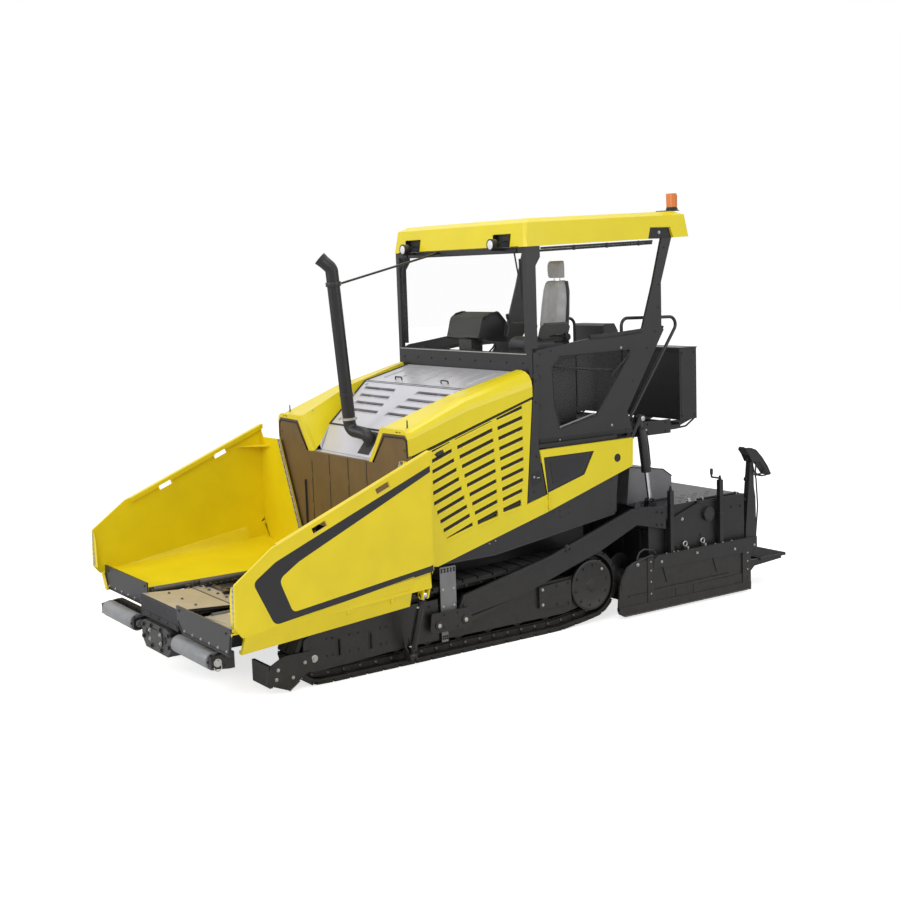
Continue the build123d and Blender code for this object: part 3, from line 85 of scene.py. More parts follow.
def material(name, rgb, rough=0.45, metal=0.0, vary=0.10, scale=5.0, bump=0.04,
             bump_scale=260.0, coat=0.0, rough_vary=0.08, dust=None, streak=None, zones=()):
    """Principled surface with noise in its colour, its roughness and its relief.

    A zone is a box (x0, x1, s0, s1, z0, z1) in mm with a colour and a roughness of its own.
    """
    m, tree, bsdf = new_material(name)
    spot = shader(tree, "TexCoord").outputs["Object"]

    def noise(size, detail, source=spot):
        return shader(tree, "TexNoise", {"Scale": size, "Detail": detail},
                      {"Vector": source}).outputs["Fac"]

    def spread_out(source, **limits):
        return shader(tree, "MapRange", {k.replace("_", " "): v for k, v in limits.items()},
                      {"Value": source}).outputs["Result"]

    def mix(factor, under, tint):
        return shader(tree, "Mix", {"B": lin(*tint)}, {"Factor": factor, "A": under},
                      data_type="RGBA").outputs["Result"]

    def times(a, b):
        return shader(tree, "Math", links={0: a, 1: b}, operation="MULTIPLY").outputs["Value"]

    ramp = shader(tree, "ValToRGB", links={"Fac": noise(scale, 6.0)})
    for stop, place, share in zip(ramp.color_ramp.elements, (0.32, 0.68), (1 - vary, 1 + vary)):
        stop.position = place
        stop.color = [min(1.0, c * share) for c in lin(*rgb)[:3]] + [1.0]
    colour = ramp.outputs["Color"]
    if streak:
        tint, amount, *stretch = streak
        along = shader(tree, "Mapping", {"Scale": stretch}, {"Vector": spot}).outputs["Vector"]
        colour = mix(spread_out(noise(9.0, 8.0, along), From_Min=0.5, From_Max=0.72,
                                To_Max=amount), colour, tint)
    if dust:
        tint, amount, z_top = dust
        height = shader(tree, "SeparateXYZ", links={"Vector": spot}).outputs["Z"]
        fade = spread_out(height, From_Min=z_top, From_Max=0.0, To_Max=amount)
        colour = mix(times(fade, noise(14.0, 8.0)), colour, tint)
    masks = []
    for box, tint, zone_rough in zones:
        low, high = P(*box[::2]), P(*box[1::2])
        shift = shader(tree, "VectorMath", {1: (low + high) / 2}, {0: spot},
                       operation="SUBTRACT")
        reach = shader(tree, "VectorMath", links={0: shift.outputs["Vector"]},
                       operation="ABSOLUTE")
        parts = shader(tree, "SeparateXYZ", links={"Vector": reach.outputs["Vector"]})
        inside = None
        for part, half in zip(parts.outputs, (high - low) / 2):
            less = shader(tree, "Math", {1: half}, {0: part}, operation="LESS_THAN")
            less = less.outputs["Value"]
            inside = less if inside is None else times(inside, less)
        colour = mix(inside, colour, tint)
        masks.append((inside, zone_rough))
    gloss = spread_out(noise(scale * 4, 5.0), To_Min=max(0.03, rough - rough_vary),
                       To_Max=min(1.0, rough + rough_vary))
    for inside, zone_rough in masks:
        gloss = shader(tree, "Mix", {"B": zone_rough}, {"Factor": inside, "A": gloss})
        gloss = gloss.outputs["Result"]
    relief = shader(tree, "Bump", {"Strength": bump, "Distance": 0.002},
                    {"Height": noise(bump_scale, 3.0)}).outputs["Normal"]
    for key, source in (("Base Color", colour), ("Roughness", gloss), ("Normal", relief)):
        tree.links.new(source, bsdf.inputs[key])
    for key, value in (("Metallic", metal), ("Coat Weight", coat), ("Coat Roughness", 0.12)):
        bsdf.inputs[key].default_value = value
    return m


def hopper_paint(name, side, flap, shelf):
    """Yellow of a wing, with its rubber flap, bare shelf and dark inner edge as zones."""
    def zone(x0, x1, s0, s1, z0, z1, rgb, rough):
        return (*sorted((side * x0, side * x1)), s0, s1, z0, z1), rgb, rough

    return material(name, (238, 214, 10), 0.4, vary=0.045, scale=3.0, bump=0.03, coat=0.12,
                    zones=(zone(498, 1597, *flap, 500, 748, (40, 40, 43), 0.5),
                           zone(*shelf, 600, 720, (176, 168, 158), 0.35),
                           zone(620, 724, 290, 2020, 560, 668, (70, 66, 62), 0.5)))


soil = (96, 88, 78)
sunny = dict(rgb=(238, 218, 10), rough=0.36, vary=0.03, scale=2.0, bump=0.02, coat=0.2)
yellow = material("paint_yellow", **sunny)
panel_paint = material("paint_yellow_panel", **sunny, zones=(
    ((1200, 1246, 3540, 4200, 1380, 1744), (30, 30, 32), 0.3),
    ((-1246, -1200, 3540, 4200, 1380, 1744), (30, 30, 32), 0.3)))
wing_paint = {
    1: hopper_paint("paint_yellow_wing_near", 1, (40, 100), (498, 1430, 100, 430)),
    -1: hopper_paint("paint_yellow_wing_far", -1, (190, 218), (640, 1430, 212, 238)),
}
dark = material("paint_anthracite", (33, 32, 35), 0.42, vary=0.16, scale=4.0, bump=0.05,
                coat=0.06)
dark_low = material("paint_anthracite_low", (22, 22, 25), 0.42, vary=0.2, scale=6.0, bump=0.09,
                    dust=(soil, 0.30, 1.0))
black = material("black_matte", (20, 20, 22), 0.55, vary=0.2, scale=8.0)
stripe = material("stripe_black", (27, 27, 31), 0.38, vary=0.06, scale=5.0, bump=0.02)
rubber = material("rubber", (40, 40, 43), 0.72, vary=0.2, scale=9.0, bump=0.2, bump_scale=420.0)
rubber_grey = material("rubber_grey", (108, 108, 112), 0.6, vary=0.12, scale=9.0, bump=0.12)
shoe_steel = material("shoe_steel", (25, 25, 27), 0.5, 0.35, vary=0.3, scale=14.0, bump=0.25,
                      bump_scale=120.0, dust=(soil, 0.35, 0.9))
worn = material("worn_steel", (96, 90, 86), 0.38, 0.7, vary=0.25, scale=10.0, bump=0.12,
                streak=((160, 152, 145), 0.5, 1, 12, 1))
plate = material("plate_steel", (196, 186, 172), 0.36, 0.45, vary=0.08, scale=5.0, bump=0.05,
                 streak=((222, 215, 205), 0.5, 9, 1, 1))
silver = material("paint_silver", (206, 205, 212), 0.33, 0.25, vary=0.05, scale=3.0, bump=0.03,
                  coat=0.15)
roller_paint = material("roller_grey", (140, 141, 144), 0.42, 0.3, vary=0.10, scale=7.0,
                        bump=0.08, streak=((112, 112, 116), 0.4, 1, 14, 14))
guide_grey = material("guide_grey", (128, 128, 131), 0.45, 0.3, vary=0.08, scale=7.0, bump=0.06)
chrome = material("chrome", (205, 205, 210), 0.13, 1.0, vary=0.04, scale=9.0, bump=0.01,
                  rough_vary=0.04)
zinc = material("zinc", (186, 186, 184), 0.34, 0.85, vary=0.12, scale=60.0, bump=0.05)
brown = material("heat_brown", (108, 84, 46), 0.55, vary=0.10, scale=4.0, bump=0.05,
                 streak=((84, 62, 30), 0.4, 10, 10, 1))
plastic = material("moulded_plastic", (46, 46, 44), 0.55, vary=0.14, scale=12.0, bump=0.22,
                   bump_scale=600.0)
seat_cloth = material("seat_cloth", (172, 172, 176), 0.52, vary=0.10, scale=14.0, bump=0.12,
                      bump_scale=700.0)
seat_vinyl = material("seat_vinyl", (66, 67, 70), 0.5, vary=0.12, scale=20.0, bump=0.15,
                      bump_scale=500.0)
amber = material("amber_lens", (226, 124, 40), 0.25, vary=0.12, scale=30.0, bump=0.1,
                 bump_scale=120.0, coat=0.5)
lamp = material("lamp_lens", (236, 238, 240), 0.12, vary=0.05, scale=40.0, bump=0.1,
                bump_scale=150.0, coat=0.6)
lights_paint = material("lights", (28, 28, 30), 0.45, vary=0.1, scale=9.0, bump=0.05,
                        zones=(((915, 1055, 5450, 5590, 4108, 4400), (222, 126, 48), 0.3),))
label_grey = material("dial_grey", (150, 152, 154), 0.4, vary=0.08, scale=30.0)
screen_black = material("screen_black", (12, 14, 18), 0.12, vary=0.1, scale=12.0, coat=0.5)
bright_trim = material("bright_trim", (128, 128, 131), 0.3, 0.6, vary=0.08, scale=12.0)

# nearly clear glass: a thin share of gloss over a see-through surface
glass, tree, bsdf = new_material("safety_glass")
smear = shader(tree, "TexNoise", {"Scale": 5.0},
               {"Vector": shader(tree, "TexCoord").outputs["Object"]})
level = shader(tree, "MapRange", {"To Min": 0.02, "To Max": 0.07},
               {"Value": smear.outputs["Fac"]})
tree.links.new(level.outputs["Result"], bsdf.inputs["Roughness"])
bsdf.inputs["Base Color"].default_value = (0.16, 0.18, 0.18, 1)
clear = shader(tree, "BsdfTransparent", {"Color": (1.0, 1.0, 1.0, 1)})
mix = shader(tree, "MixShader", {"Fac": 0.014},
             {1: clear.outputs["BSDF"], 2: bsdf.outputs["BSDF"]})
tree.links.new(mix.outputs["Shader"], tree.nodes["Material Output"].inputs["Surface"])

# ---- finish of each carried-over node: the first start of its name that fits -------------
finishes = {
    "hopper_wing_left": wing_paint[1], "hopper_wing_right": wing_paint[-1],
    "side_door": yellow, "hood_shoulders": yellow, "rear_side_panels": panel_paint,
    "roof_lights": lights_paint, "roof": yellow, "hood_lid": silver, "hood_deck": silver,
    "bulkhead": brown, "track_frame": dark_low, "track_wheels": shoe_steel,
    "track": shoe_steel, "final_drives": dark_low, "push_roller": roller_paint,
    "push_beam": dark_low, "front_apron": rubber, "conveyors": worn, "wing_rod": chrome,
    "hoist_rod": chrome, "auger": shoe_steel, "screed_cover": guide_grey, "cab_glass": glass,
    "operator_console": plastic, "end_gate": dark_low, "extension": dark_low,
    "screed_frame": dark_low, "tow_arms": dark_low, "operator_seat": seat_cloth,
    "engine_block": black, "exhaust_stack": dark_low, "": dark,
}
for name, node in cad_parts.items():
    finish = next(finishes[start] for start in finishes if name.startswith(start))
    for slot in node.material_slots:
        slot.material = finish
    if finish is glass:
        continue
    node.modifiers.new("weld", "WELD").merge_threshold = 0.00005
    soft = node.modifiers.new("edge", "BEVEL")
    soft.width = 0.0022
    soft.segments = 2
    soft.limit_method = "ANGLE"
    soft.angle_limit = radians(38)
    soft.harden_normals = False
    soft.use_clamp_overlap = True


# ---- mesh forms: sizes and (x, station, height) points in mm ------------------------------
def at(p):
    """A point in metres, from one in mm or as it is."""
    return p if isinstance(p, Vector) else P(*p)


def spread(start, end, count):
    """Evenly spaced numbers from start to end, both included."""
    return [start + (end - start) * k / (count - 1) for k in range(count)]


def turns(count, start=0.0):
    return [start + 2 * pi * k / count for k in range(count)]


def circle(a, b, r, count, start=0.0):
    return [(a + r * cos(t), b + r * sin(t)) for t in turns(count, start)]


def grid(first, second):
    return [(a, b) for b in second for a in first]


def on(axis, level, pairs):
    """Points of the plane at a level of x, s or z, from pairs of the other two."""
    k = "xsz".index(axis[-1])
    return [(*pair[:k], level, *pair[k:]) for pair in map(tuple, pairs)]


def heading(axis):
    """Unit vector of an axis name; a minus before it turns it round."""
    return {"x": X1, "s": Y1, "z": Z1}[axis[-1]] * (-1 if axis[0] == "-" else 1)


def flip(a):
    """A point, an axis or a list of them on the other side; anything else as it is."""
    if isinstance(a, Vector):
        return Vector((-a.x, a.y, a.z))
    if not isinstance(a, (tuple, list)):
        return a
    if len(a) == 3 and not isinstance(a[0], (Vector, tuple, list)):
        return -a[0], a[1], a[2]
    return [flip(part) for part in a]


def corner(p, before, after, radius, share, straight, steps):
    """Arc that cuts the corner p, unless it is as good as straight."""
    u, v = (before - p).normalized(), (after - p).normalized()
    half = acos(max(-1, min(1, u.dot(v)))) / 2
    if radius <= 0 or half > straight:
        return [p]
    cut = min(radius / tan(half), (before - p).length * share, (after - p).length * share)
    a, b = p + u * cut, p + v * cut
    return [a * (1 - t) ** 2 + p * 2 * t * (1 - t) + b * t ** 2 for t in spread(0, 1, steps + 1)]


def rounded(points, radii, steps=5):
    """Closed outline with rounded corners; radii is one number or one for each corner."""
    pts = [Vector(p) for p in points]
    radii = radii if isinstance(radii, tuple) else (radii,) * len(pts)
    return [tuple(q) for i, p in enumerate(pts) for q in
            corner(p, pts[i - 1], pts[(i + 1) % len(pts)], radii[i], 0.48, 1.55, steps)]


def skin(rings):
    """Faces of a closed skin over rings of the same number of points."""
    n, last = len(rings[0]), len(rings) - 1
    return [[j * n + i, j * n + (i + 1) % n, (j + 1) * n + (i + 1) % n, (j + 1) * n + i]
            for j in range(last) for i in range(n)] + [
                list(range(n - 1, -1, -1)), [last * n + i for i in range(n)]]


def mesh_object(name, verts, faces):
    """Object of a mesh whose faces all look outward."""
    mesh = bpy.data.meshes.new(name)
    mesh.from_pydata(verts, [], faces)
    bm = bmesh.new()
    bm.from_mesh(mesh)
    bmesh.ops.recalc_face_normals(bm, faces=bm.faces)
    for edge in bm.edges:
        edge.smooth = len(edge.link_faces) == 2 and edge.calc_face_angle(0) < radians(34)
    bm.to_mesh(mesh)
    bm.free()
    obj = bpy.data.objects.new(name, mesh)
    bpy.context.scene.collection.objects.link(obj)
    return obj


class Form:
    """Gathers the faces of one piece, with a finish for each face."""

    def __init__(self, side=1):
        self.side, self.verts, self.faces, self.finishes, self.calls = side, [], [], [], []

    def mirror(self):
        """Builds all that is there once more, on the other side."""
        for make, args in self.calls[:]:
            make(self, *flip(args))

    def add(self, rings, finish):
        start = len(self.verts)
        if finish not in self.finishes:
            self.finishes.append(finish)
        k = self.finishes.index(finish)
        self.verts += [at(p) for ring in rings for p in ring]
        self.faces += [([start + i for i in face], k) for face in skin(rings)]

    def loft(self, rings, finish):
        """Closed skin over rings of points."""
        self.calls.append((Form.loft, (rings, finish)))
        self.add(rings, finish)

    def prism(self, points, depth, finish):
        """Outline of points pushed along a vector."""
        near = [at(p) for p in points]
        self.loft([near, [p + Vector(depth) / 1000 for p in near]], finish)

    def plate(self, axis, outline, start, end, finish):
        """Outline in a plane square to an axis, from one level to another."""
        self.prism(on(axis, start, outline), heading(axis) * (end - start), finish)

    def box(self, x0, x1, s0, s1, z0, z1, finish):
        self.plate("x", ((s0, z0), (s1, z0), (s1, z1), (s0, z1)), x0, x1, finish)

    def tube(self, points, radius, finish, sides=12, bend=0):
        """Round bar along a path whose corners are bent to a radius."""
        self.calls.append((Form.tube, (points, radius, finish, sides, bend)))
        path = [at(p) for p in points]
        if bend:
            bends = [corner(p, a, b, bend / 1000, 0.49, pi, 5)
                     for a, p, b in zip(path, path[1:], path[2:])]
            path = path[:1] + [p for arc in bends for p in arc] + path[-1:]
        side, rings = None, []
        for i, p in enumerate(path):
            run = (path[min(len(path) - 1, i + 1)] - path[max(0, i - 1)]).normalized()
            side = run.orthogonal() if side is None else side
            side = (side - run * side.dot(run)).normalized()
            up = run.cross(side)
            rings.append([p + radius / 1000 * (cos(a) * side + sin(a) * up)
                          for a in turns(sides)])
        self.add(rings, finish)

    def turned(self, spot, axis, profile, finish, sides=28):
        """Body turned about an axis: profile rows are (distance along it, radius)."""
        self.calls.append((Form.turned, (spot, axis, profile, finish, sides)))
        run = Vector(axis).normalized()
        side = run.orthogonal().normalized()
        up = run.cross(side)
        ring = [cos(a) * side + sin(a) * up for a in turns(sides)]
        self.add([[at(spot) + run * d / 1000 + max(r, 0.1) / 1000 * v for v in ring]
                  for d, r in profile], finish)

    def bolt(self, spot, axis, size, finish=None):
        """Hex head on a washer; size is about the width across its flats."""
        foot, neck, top = 0.12 * size, 0.54 * size, 0.62 * size
        head = 0.56 * size
        finish = finish or zinc
        self.turned(spot, axis, ((0, 0.86 * size), (foot, 0.86 * size)), finish, 14)
        self.turned(spot, axis, ((foot, head), (neck, head), (top, 0.48 * size)), finish, 6)

    def bolts(self, axis, level, pairs, size, finish=None):
        """Bolts in a plane square to an axis, their heads toward it."""
        for spot in on(axis, level, pairs):
            self.bolt(spot, heading(axis), size, finish)

    def edging(self, axis, level, outline, radius, finish, sides):
        """A thin bar along each edge of a closed outline."""
        ring = on(axis, level, outline)
        for a, b in zip(ring, ring[1:] + ring[:1]):
            self.tube([a, b], radius, finish, sides)

    def hoop(self, axis, level, middle, r, radius, finish):
        """A round bar bent to a ring in a plane square to an axis."""
        ring = on(axis, level, circle(*middle, r, 20))
        self.tube(ring + ring[:1], radius, finish, 8)

    def chequer(self, xs, stations, size, cut, z, height, finish):
        """Short raised strokes that lean one way and the other in turn."""
        for i, x in enumerate(xs):
            for j, s in enumerate(stations):
                way = 1 if (i + j) % 2 else -1
                a, b, c = size - cut, size * way, (size + 4) * way
                self.prism([(x - size, s - b, z), (x - a, s - c, z), (x + size, s + b, z),
                            (x + a, s + c, z)], (0, 0, height), finish)

    def done(self, name, body, slot, bevel=0, smooth=True):
        obj = mesh_object(name, [(self.side * v.x, v.y, v.z) for v in self.verts],
                          [face for face, k in self.faces])
        for finish in self.finishes:
            obj.data.materials.append(finish)
        for poly, (face, k) in zip(obj.data.polygons, self.faces):
            poly.material_index = k
            poly.use_smooth = smooth
        if bevel:
            mod = obj.modifiers.new("edge", "BEVEL")
            mod.width = bevel / 1000
            mod.segments = 2
            mod.limit_method = "ANGLE"
            mod.angle_limit = radians(40)
        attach(obj, body)


sides = (1, "left"), (-1, "right")


def one(body, slot, **options):
    """Builds the function under it at once, as one piece under the function's name."""
    def build(make):
        f = Form()
        make(f)
        f.done(make.__name__, body, slot, **options)
    return build


def side_piece(make, side, tag, body, slot, **options):
    """Piece built for the left side, +X; the right one is its mirror image."""
    f = Form(side)
    make(f)
    f.done(f"{make.__name__}_{tag}", body.replace("#", tag), slot.replace("#", tag), **options)


def both(body, slot, **options):
    """Builds the function under it at once, for the left and for the right side."""
    def build(make):
        for side, tag in sides:
            side_piece(make, side, tag, body, slot, **options)
    return build


# ---- hopper wings -----------------------------------------------------------------------
wing_face = 1633.0


@both("wing_#", "body_pillars", smooth=False)
def wing_stripe(f):
    f.plate("x", rounded(
        ((262, 1103), (470, 1246), (760, 1366), (2004, 1872), (2004, 1816), (690, 1222),
         (498, 1098), (612, 806), (2004, 990), (2004, 936), (440, 727)),
        (60, 200, 200, 0, 0, 200, 70, 55, 0, 0, 70)), wing_face - 0.6, wing_face + 0.6, stripe)


def wing_flange(f):
    paint = wing_paint[f.side]
    # flange turned in at the front edge, its wear strip and screws
    f.plate("s", ((1606, 1098), (1560, 1082), (1532, 1010), (1520, 745), (1606, 745)), 98, 104,
            paint)
    f.plate("s", ((1606, 1094), (1584, 1086), (1578, 760), (1606, 760)), 94, 98, zinc)
    f.bolts("-s", 94, zip(spread(1594, 1593, 7), spread(1060, 790, 7)), 13)
    # corner stiffener under the rim
    f.plate("z", ((1606, 1700), (1606, 1992), (1400, 1992)), 1776, 1784, paint)


def wing_seal(f):
    # seal strip up the inner edge of the rear plate
    f.plate("s", ((1176, 1868), (1212, 1868), (842, 1000), (742, 668), (704, 664), (802, 1000)),
            1989, 1996, rubber_grey)
    f.plate("s", ((1164, 1866), (1178, 1868), (804, 1000), (706, 664), (696, 662), (792, 1002)),
            1986, 1996, plate)
    f.bolts("-s", 1989, zip(spread(1180, 836, 13), spread(1830, 1020, 13)), 15)
    # bar along the flap's foot with its screws; the far wing's flap sits further back
    flap = 62 if f.side > 0 else 200
    f.plate("s", ((512, 606), (604, 520), (1540, 520), (1590, 690), (1580, 694), (1534, 534),
                  (610, 534), (522, 618)), flap - 5, flap, black)
    f.bolts("-s", flap, [(x, 548) for x in spread(660, 1500, 6)], 15)
    f.box(506, 1588, flap - 4, flap + 16, 738, 748, dark)
    f.bolts("-s", flap, ((560, 712), (1500, 700)), 15, dark)
    # corner plate between the rear plate, the floor and the wall's foot
    f.plate("s", ((1480, 770), (1606, 800), (1606, 966), (1626, 966)), 1988, 1994,
            wing_paint[f.side])


for side, tag in sides:
    side_piece(wing_flange, side, tag, "wing_#", "hopper_wing_#", bevel=1)
    side_piece(wing_seal, side, tag, "wing_#", "hopper_wing_#", bevel=0.8)


# ---- bulkhead, conveyors and apron ------------------------------------------------------
@one("paver", "bulkhead", bevel=1)
def bulkhead_seams(f):
    # black edging round the outer part of the plate
    f.plate("s", ((624, 1806), (640, 1802), (840, 2072), (1190, 2078), (1226, 2046),
                  (1236, 1890), (1222, 1892), (1214, 2038), (1182, 2062), (848, 2054)),
            2027, 2033, black)
    f.box(690, 698, 2012, 2033, 900, 1500, rubber)
    f.bolts("-s", 2033, [(1180, z) for z in (1120, 1420, 1720, 1960)], 18, brown)
    f.mirror()
    for x in (-560, -205, 160, 505):
        f.box(x - 5, x + 5, 2030, 2033, 900, 1798 if abs(x) < 520 else 1700, black)
        for z in (960, 1250, 1560):
            f.box(x - 9, x + 9, 2028, 2033, z - 30, z + 30, brown)


@one("paver", "conveyors")
def conveyor_chains(f):
    for x in (112, 520):
        pins = spread(800, 2760, 36)
        for s in pins:
            f.turned((x - 12, s, 628), X1, ((0, 13), (24, 13)), shoe_steel, 10)
        for k, s in enumerate(pins[:-1]):
            off = 3 if k % 2 else 0
            link = rounded(((s - 14, 616), (s + 70, 616), (s + 70, 640), (s - 14, 640)), 11, 3)
            for dx in (-18 - off, 14 + off):
                f.plate("x", link, x + dx, x + dx + 4, shoe_steel)
    f.bolts("z", 626, grid((90, 300, 480, 560), spread(863, 1903, 5)), 20, worn)
    f.mirror()


@one("paver", "conveyors", bevel=1.5)
def conveyor_lead_in(f):
    f.box(-636, 636, 702, 836, 603, 609, plate)
    f.plate("s", ((-40, 690), (-40, 704), (0, 716), (40, 704), (40, 690)), 1100, 2010, worn)
    f.bolts("z", 609, [(x, 770) for x in spread(-580, 580, 7)], 22, worn)


@one("apron", "front_apron", bevel=1)
def apron_plates(f):
    f.turned((560, 640, 612), X1, ((0, 19), (12, 19), (16, 10)), zinc, 14)
    f.mirror()
    f.prism([(-428, 120, 678), (428, 120, 678), (428, 616, 644), (-428, 616, 644)], (0, 0, 3),
            plate)
    f.box(-426, 426, 98, 104, 486, 540, rubber)
    f.bolts("-s", 98, [(x, 524) for x in spread(-400, 400, 5)], 15, dark)
    f.bolts("z", 666, [(x, 330) for x in (-300, 0, 300)], 20, worn)


# ---- push beam and rollers --------------------------------------------------------------
@one("push_beam", "push_beam", bevel=1.2)
def push_beam_hardware(f):
    # pivot plate in the middle
    f.bolts("-s", 60, ((285, 430), (285, 320), (110, 450), (110, 262)), 30, dark)
    f.turned((200, 60, 372), -Y1, ((0, 34), (6, 34), (6, 20), (1, 18)), black, 20)
    f.bolts("-s", 52, ((120, 325), (120, 405)), 22)
    # end of each roller's axle, lashing ring and stiffeners
    for x in (421, 1264):
        f.turned((x, 80, 400), X1, ((0, 36), (6, 36), (6, 22), (14, 20)), zinc, 20)
    f.hoop("x", 1268, (80, 364), 34, 5, zinc)
    f.bolts("x", 1262, ((150, 362), (150, 438), (48, 372), (48, 428)), 18, dark)
    for x in (520, 760, 1000):
        f.box(x, x + 12, 174, 184, 332, 470, dark_low)
    f.mirror()
    f.plate("s", rounded(((-150, 300), (150, 300), (150, 430), (-150, 430)), 18), 52, 60,
            dark_low)


@both("push_roller_#", "push_roller_#")
def roller_ends(f):
    for axis, x, face in (("-x", 480, 477), ("x", 1200, 1203)):
        f.turned((x, 80, 400), heading(axis), ((-4, 79.8), (0, 79), (3, 70), (3, 48), (9, 42),
                                               (9, 26)), roller_paint, 40)
        f.bolts(axis, face, circle(80, 400, 60, 6), 13, dark)


# ---- tracks: the CAD's loop, with links and pads laid along it --------------------------
# station, height and radius over the shoes of each wheel that the loop runs round
loop_circles = ((1080, 270, 270), (3730, 120, 120), (4130, 402, 350), (2500, 530, 160))
shoe_count = 46


def loop_line(inset):
    """Arcs and straights of the loop: (length, station, height, radius, angle, curvature)."""
    circles = [(s, z, r - inset) for s, z, r in loop_circles]
    runs = []
    for (s0, z0, r0), (s1, z1, r1) in zip(circles, circles[1:] + circles[:1]):
        reach = sqrt((s1 - s0) ** 2 + (z1 - z0) ** 2 - (r1 - r0) ** 2)
        runs.append((reach, atan2(z1 - z0, s1 - s0) - pi / 2 - atan2(r1 - r0, reach)))
    pieces = []
    for k, (s, z, r) in enumerate(circles):
        a0, (reach, a1) = runs[k - 1][1], runs[k]
        bend = (a1 - a0) % (2 * pi)
        pieces += [(r * bend, s, z, r, a0, 1 / r), (reach, s, z, r, a1, 0)]
    return pieces


def loop_spot(pieces, distance):
    """Station, height and outward angle at a distance along the loop."""
    for length, s, z, r, a, curve in pieces:
        if distance <= length:
            break
        distance -= length
    a, along = (a + distance * curve, 0) if curve else (a, distance)
    return s + r * cos(a) - along * sin(a), z + r * sin(a) + along * cos(a), a


def on_loop(spot, along, out, x):
    """Point off a spot of the loop: along its run, outward, and across the machine."""
    s, z, a = spot
    return x, s - along * sin(a) + out * cos(a), z + along * cos(a) + out * sin(a)


shoe_line, pin_line = loop_line(26), loop_line(78)
shoe_pitch, pin_pitch = [sum(piece[0] for piece in line) / shoe_count
                         for line in (shoe_line, pin_line)]
# side plate of a link, waisted between its pins: share of the pitch, and height in mm
waist = ((-0.5, -24), (-0.22, -20), (0.22, -20), (0.5, -24), (0.64, 0), (0.5, 24), (0.22, 30),
         (-0.22, 30), (-0.5, 24), (-0.64, 0))


@both("paver", "track_#")
def track_links(f):
    for k in range(shoe_count):
        s0, z0, a = loop_spot(pin_line, (k + 0.08) * pin_pitch)
        s1, z1, a = loop_spot(pin_line, (k + 1.08) % shoe_count * pin_pitch)
        ds, dz = s1 - s0, z1 - z0
        run = hypot(ds, dz)
        outline = [((s0 + s1) / 2 + u * ds + v * dz / run, (z0 + z1) / 2 + u * dz - v * ds / run)
                   for u, v in waist]
        for x in (1125, 979):
            x += 5 if k % 2 else 0
            f.plate("x", outline, x, x + 16, shoe_steel)
        f.turned((968, s0, z0), X1, ((0, 15), (184, 15), (188, 10)), worn, 10)


@both("paver", "track_#")
def shoe_pads(f):
    half = (shoe_pitch - 14) / 2
    for k in range(shoe_count):
        centre = loop_spot(shoe_line, shoe_pitch * k + 1 + half)
        # rubber pads with chamfered rims, inside the shoe's own outline
        for x0, x1 in ((914, 1052), (1068, 1206)):
            low, top = [[on_loop(centre, u * (half - inset), out, x) for u, x in
                         ((-1, x0 + cut), (1, x0 + cut), (1, x1 - cut), (-1, x1 - cut))]
                        for inset, cut, out in ((3, 0, 17), (9, 7, 26.4))]
            if min(z for x, s, z in top) > 0.6:
                f.loft([low, top], rubber)
        inward = Vector((0, -cos(centre[2]), -sin(centre[2])))
        for x, u in grid((1010, 1110), (-0.45, 0.45)):
            f.bolt(on_loop(centre, u * half, -22, x), inward, 18, worn)
        # bevelled end of the shoe, seen from the side
        f.prism([on_loop(centre, u * (half - 8), v, 1215)
                 for u, v in ((-1, 2), (1, 2), (0.8, 20), (-0.8, 20))], (3, 0, 0), shoe_steel)


beam_face, guide_face, plough_face, cheek_face = 1231, 1234, 1245, 1301


@both("paver", "track_frame_#", bevel=0.8)
def frame_hardware(f):
    # bolted side plate: groups of four over two slots
    f.bolts("x", beam_face, grid((1130, 1190, 1360, 1450, 1680, 1740), (400, 250)), 15, dark_low)
    for s in (1232, 1552):
        f.edging("x", 1232, ((s, 225), (s + 36, 225), (s + 36, 385), (s, 385)), 3, dark_low, 6)
    f.bolts("x", beam_face, ((980, 470), (2210, 505)), 20, dark_low)
    f.bolts("x", beam_face, ((2080, 505),), 20)
    f.turned((beam_face, 1000, 250), X1, ((0, 34), (4, 34), (5, 28), (5, 16), (12, 14)), zinc, 20)
    # plough bolts and wear bar
    f.bolts("x", plough_face, ((640, 220), (900, 240), (780, 130), (620, 140)), 19)
    f.plate("x", ((735, 24), (838, 92), (846, 84), (742, 14)), 1231, 1248, worn)
    # cheek by the tow pin with its two pins
    for s, z in ((2265, 330), (2560, 340)):
        f.turned((cheek_face, s, z), X1, ((-8, 40), (1, 40), (3, 36), (3, 22), (7, 18)),
                 dark_low, 24)
        f.turned((cheek_face, s, z), X1, ((3, 20), (8, 20), (10, 12)), zinc, 18)
    f.bolts("x", 1293, ((2330, 420), (2480, 420), (2330, 300), (2480, 290)), 16, dark)
    # final drive: cover plate and its rim of bolts, one of them bare
    f.turned((1234, 4130, 402), X1, ((-1, 252), (4, 252), (7, 246), (7, 222), (4, 216),
                                     (4, 60), (10, 55), (12, 30)), dark_low, 48)
    rim = circle(4130, 402, 198, 10, 0.2)
    f.bolts("x", 1239, rim[:1] + rim[2:], 17, dark_low)
    f.bolts("x", 1239, rim[1:2], 17)
    # box beam to the drive: seam and bolts
    f.bolts("x", beam_face, ((3520, 450), (3520, 300)), 18)
    f.bolts("x", beam_face, ((3700, 462), (3700, 282), (3840, 470), (3840, 270)), 18, dark_low)
    f.plate("x", ((3500, 372), (3500, 378), (3872, 386), (3872, 380)), 1230, 1233, dark_low)
    # grease line along the beam, with its clips
    f.tube([(1209, 1400, 470), (1209, 2300, 492), (1209, 3400, 512)], 6, black, 8)
    for s in (1600, 2100, 2900, 3300):
        z = 462 + 0.024 * (s - 1400)
        f.box(1202, 1216, s, s + 18, z, z + 22, zinc)


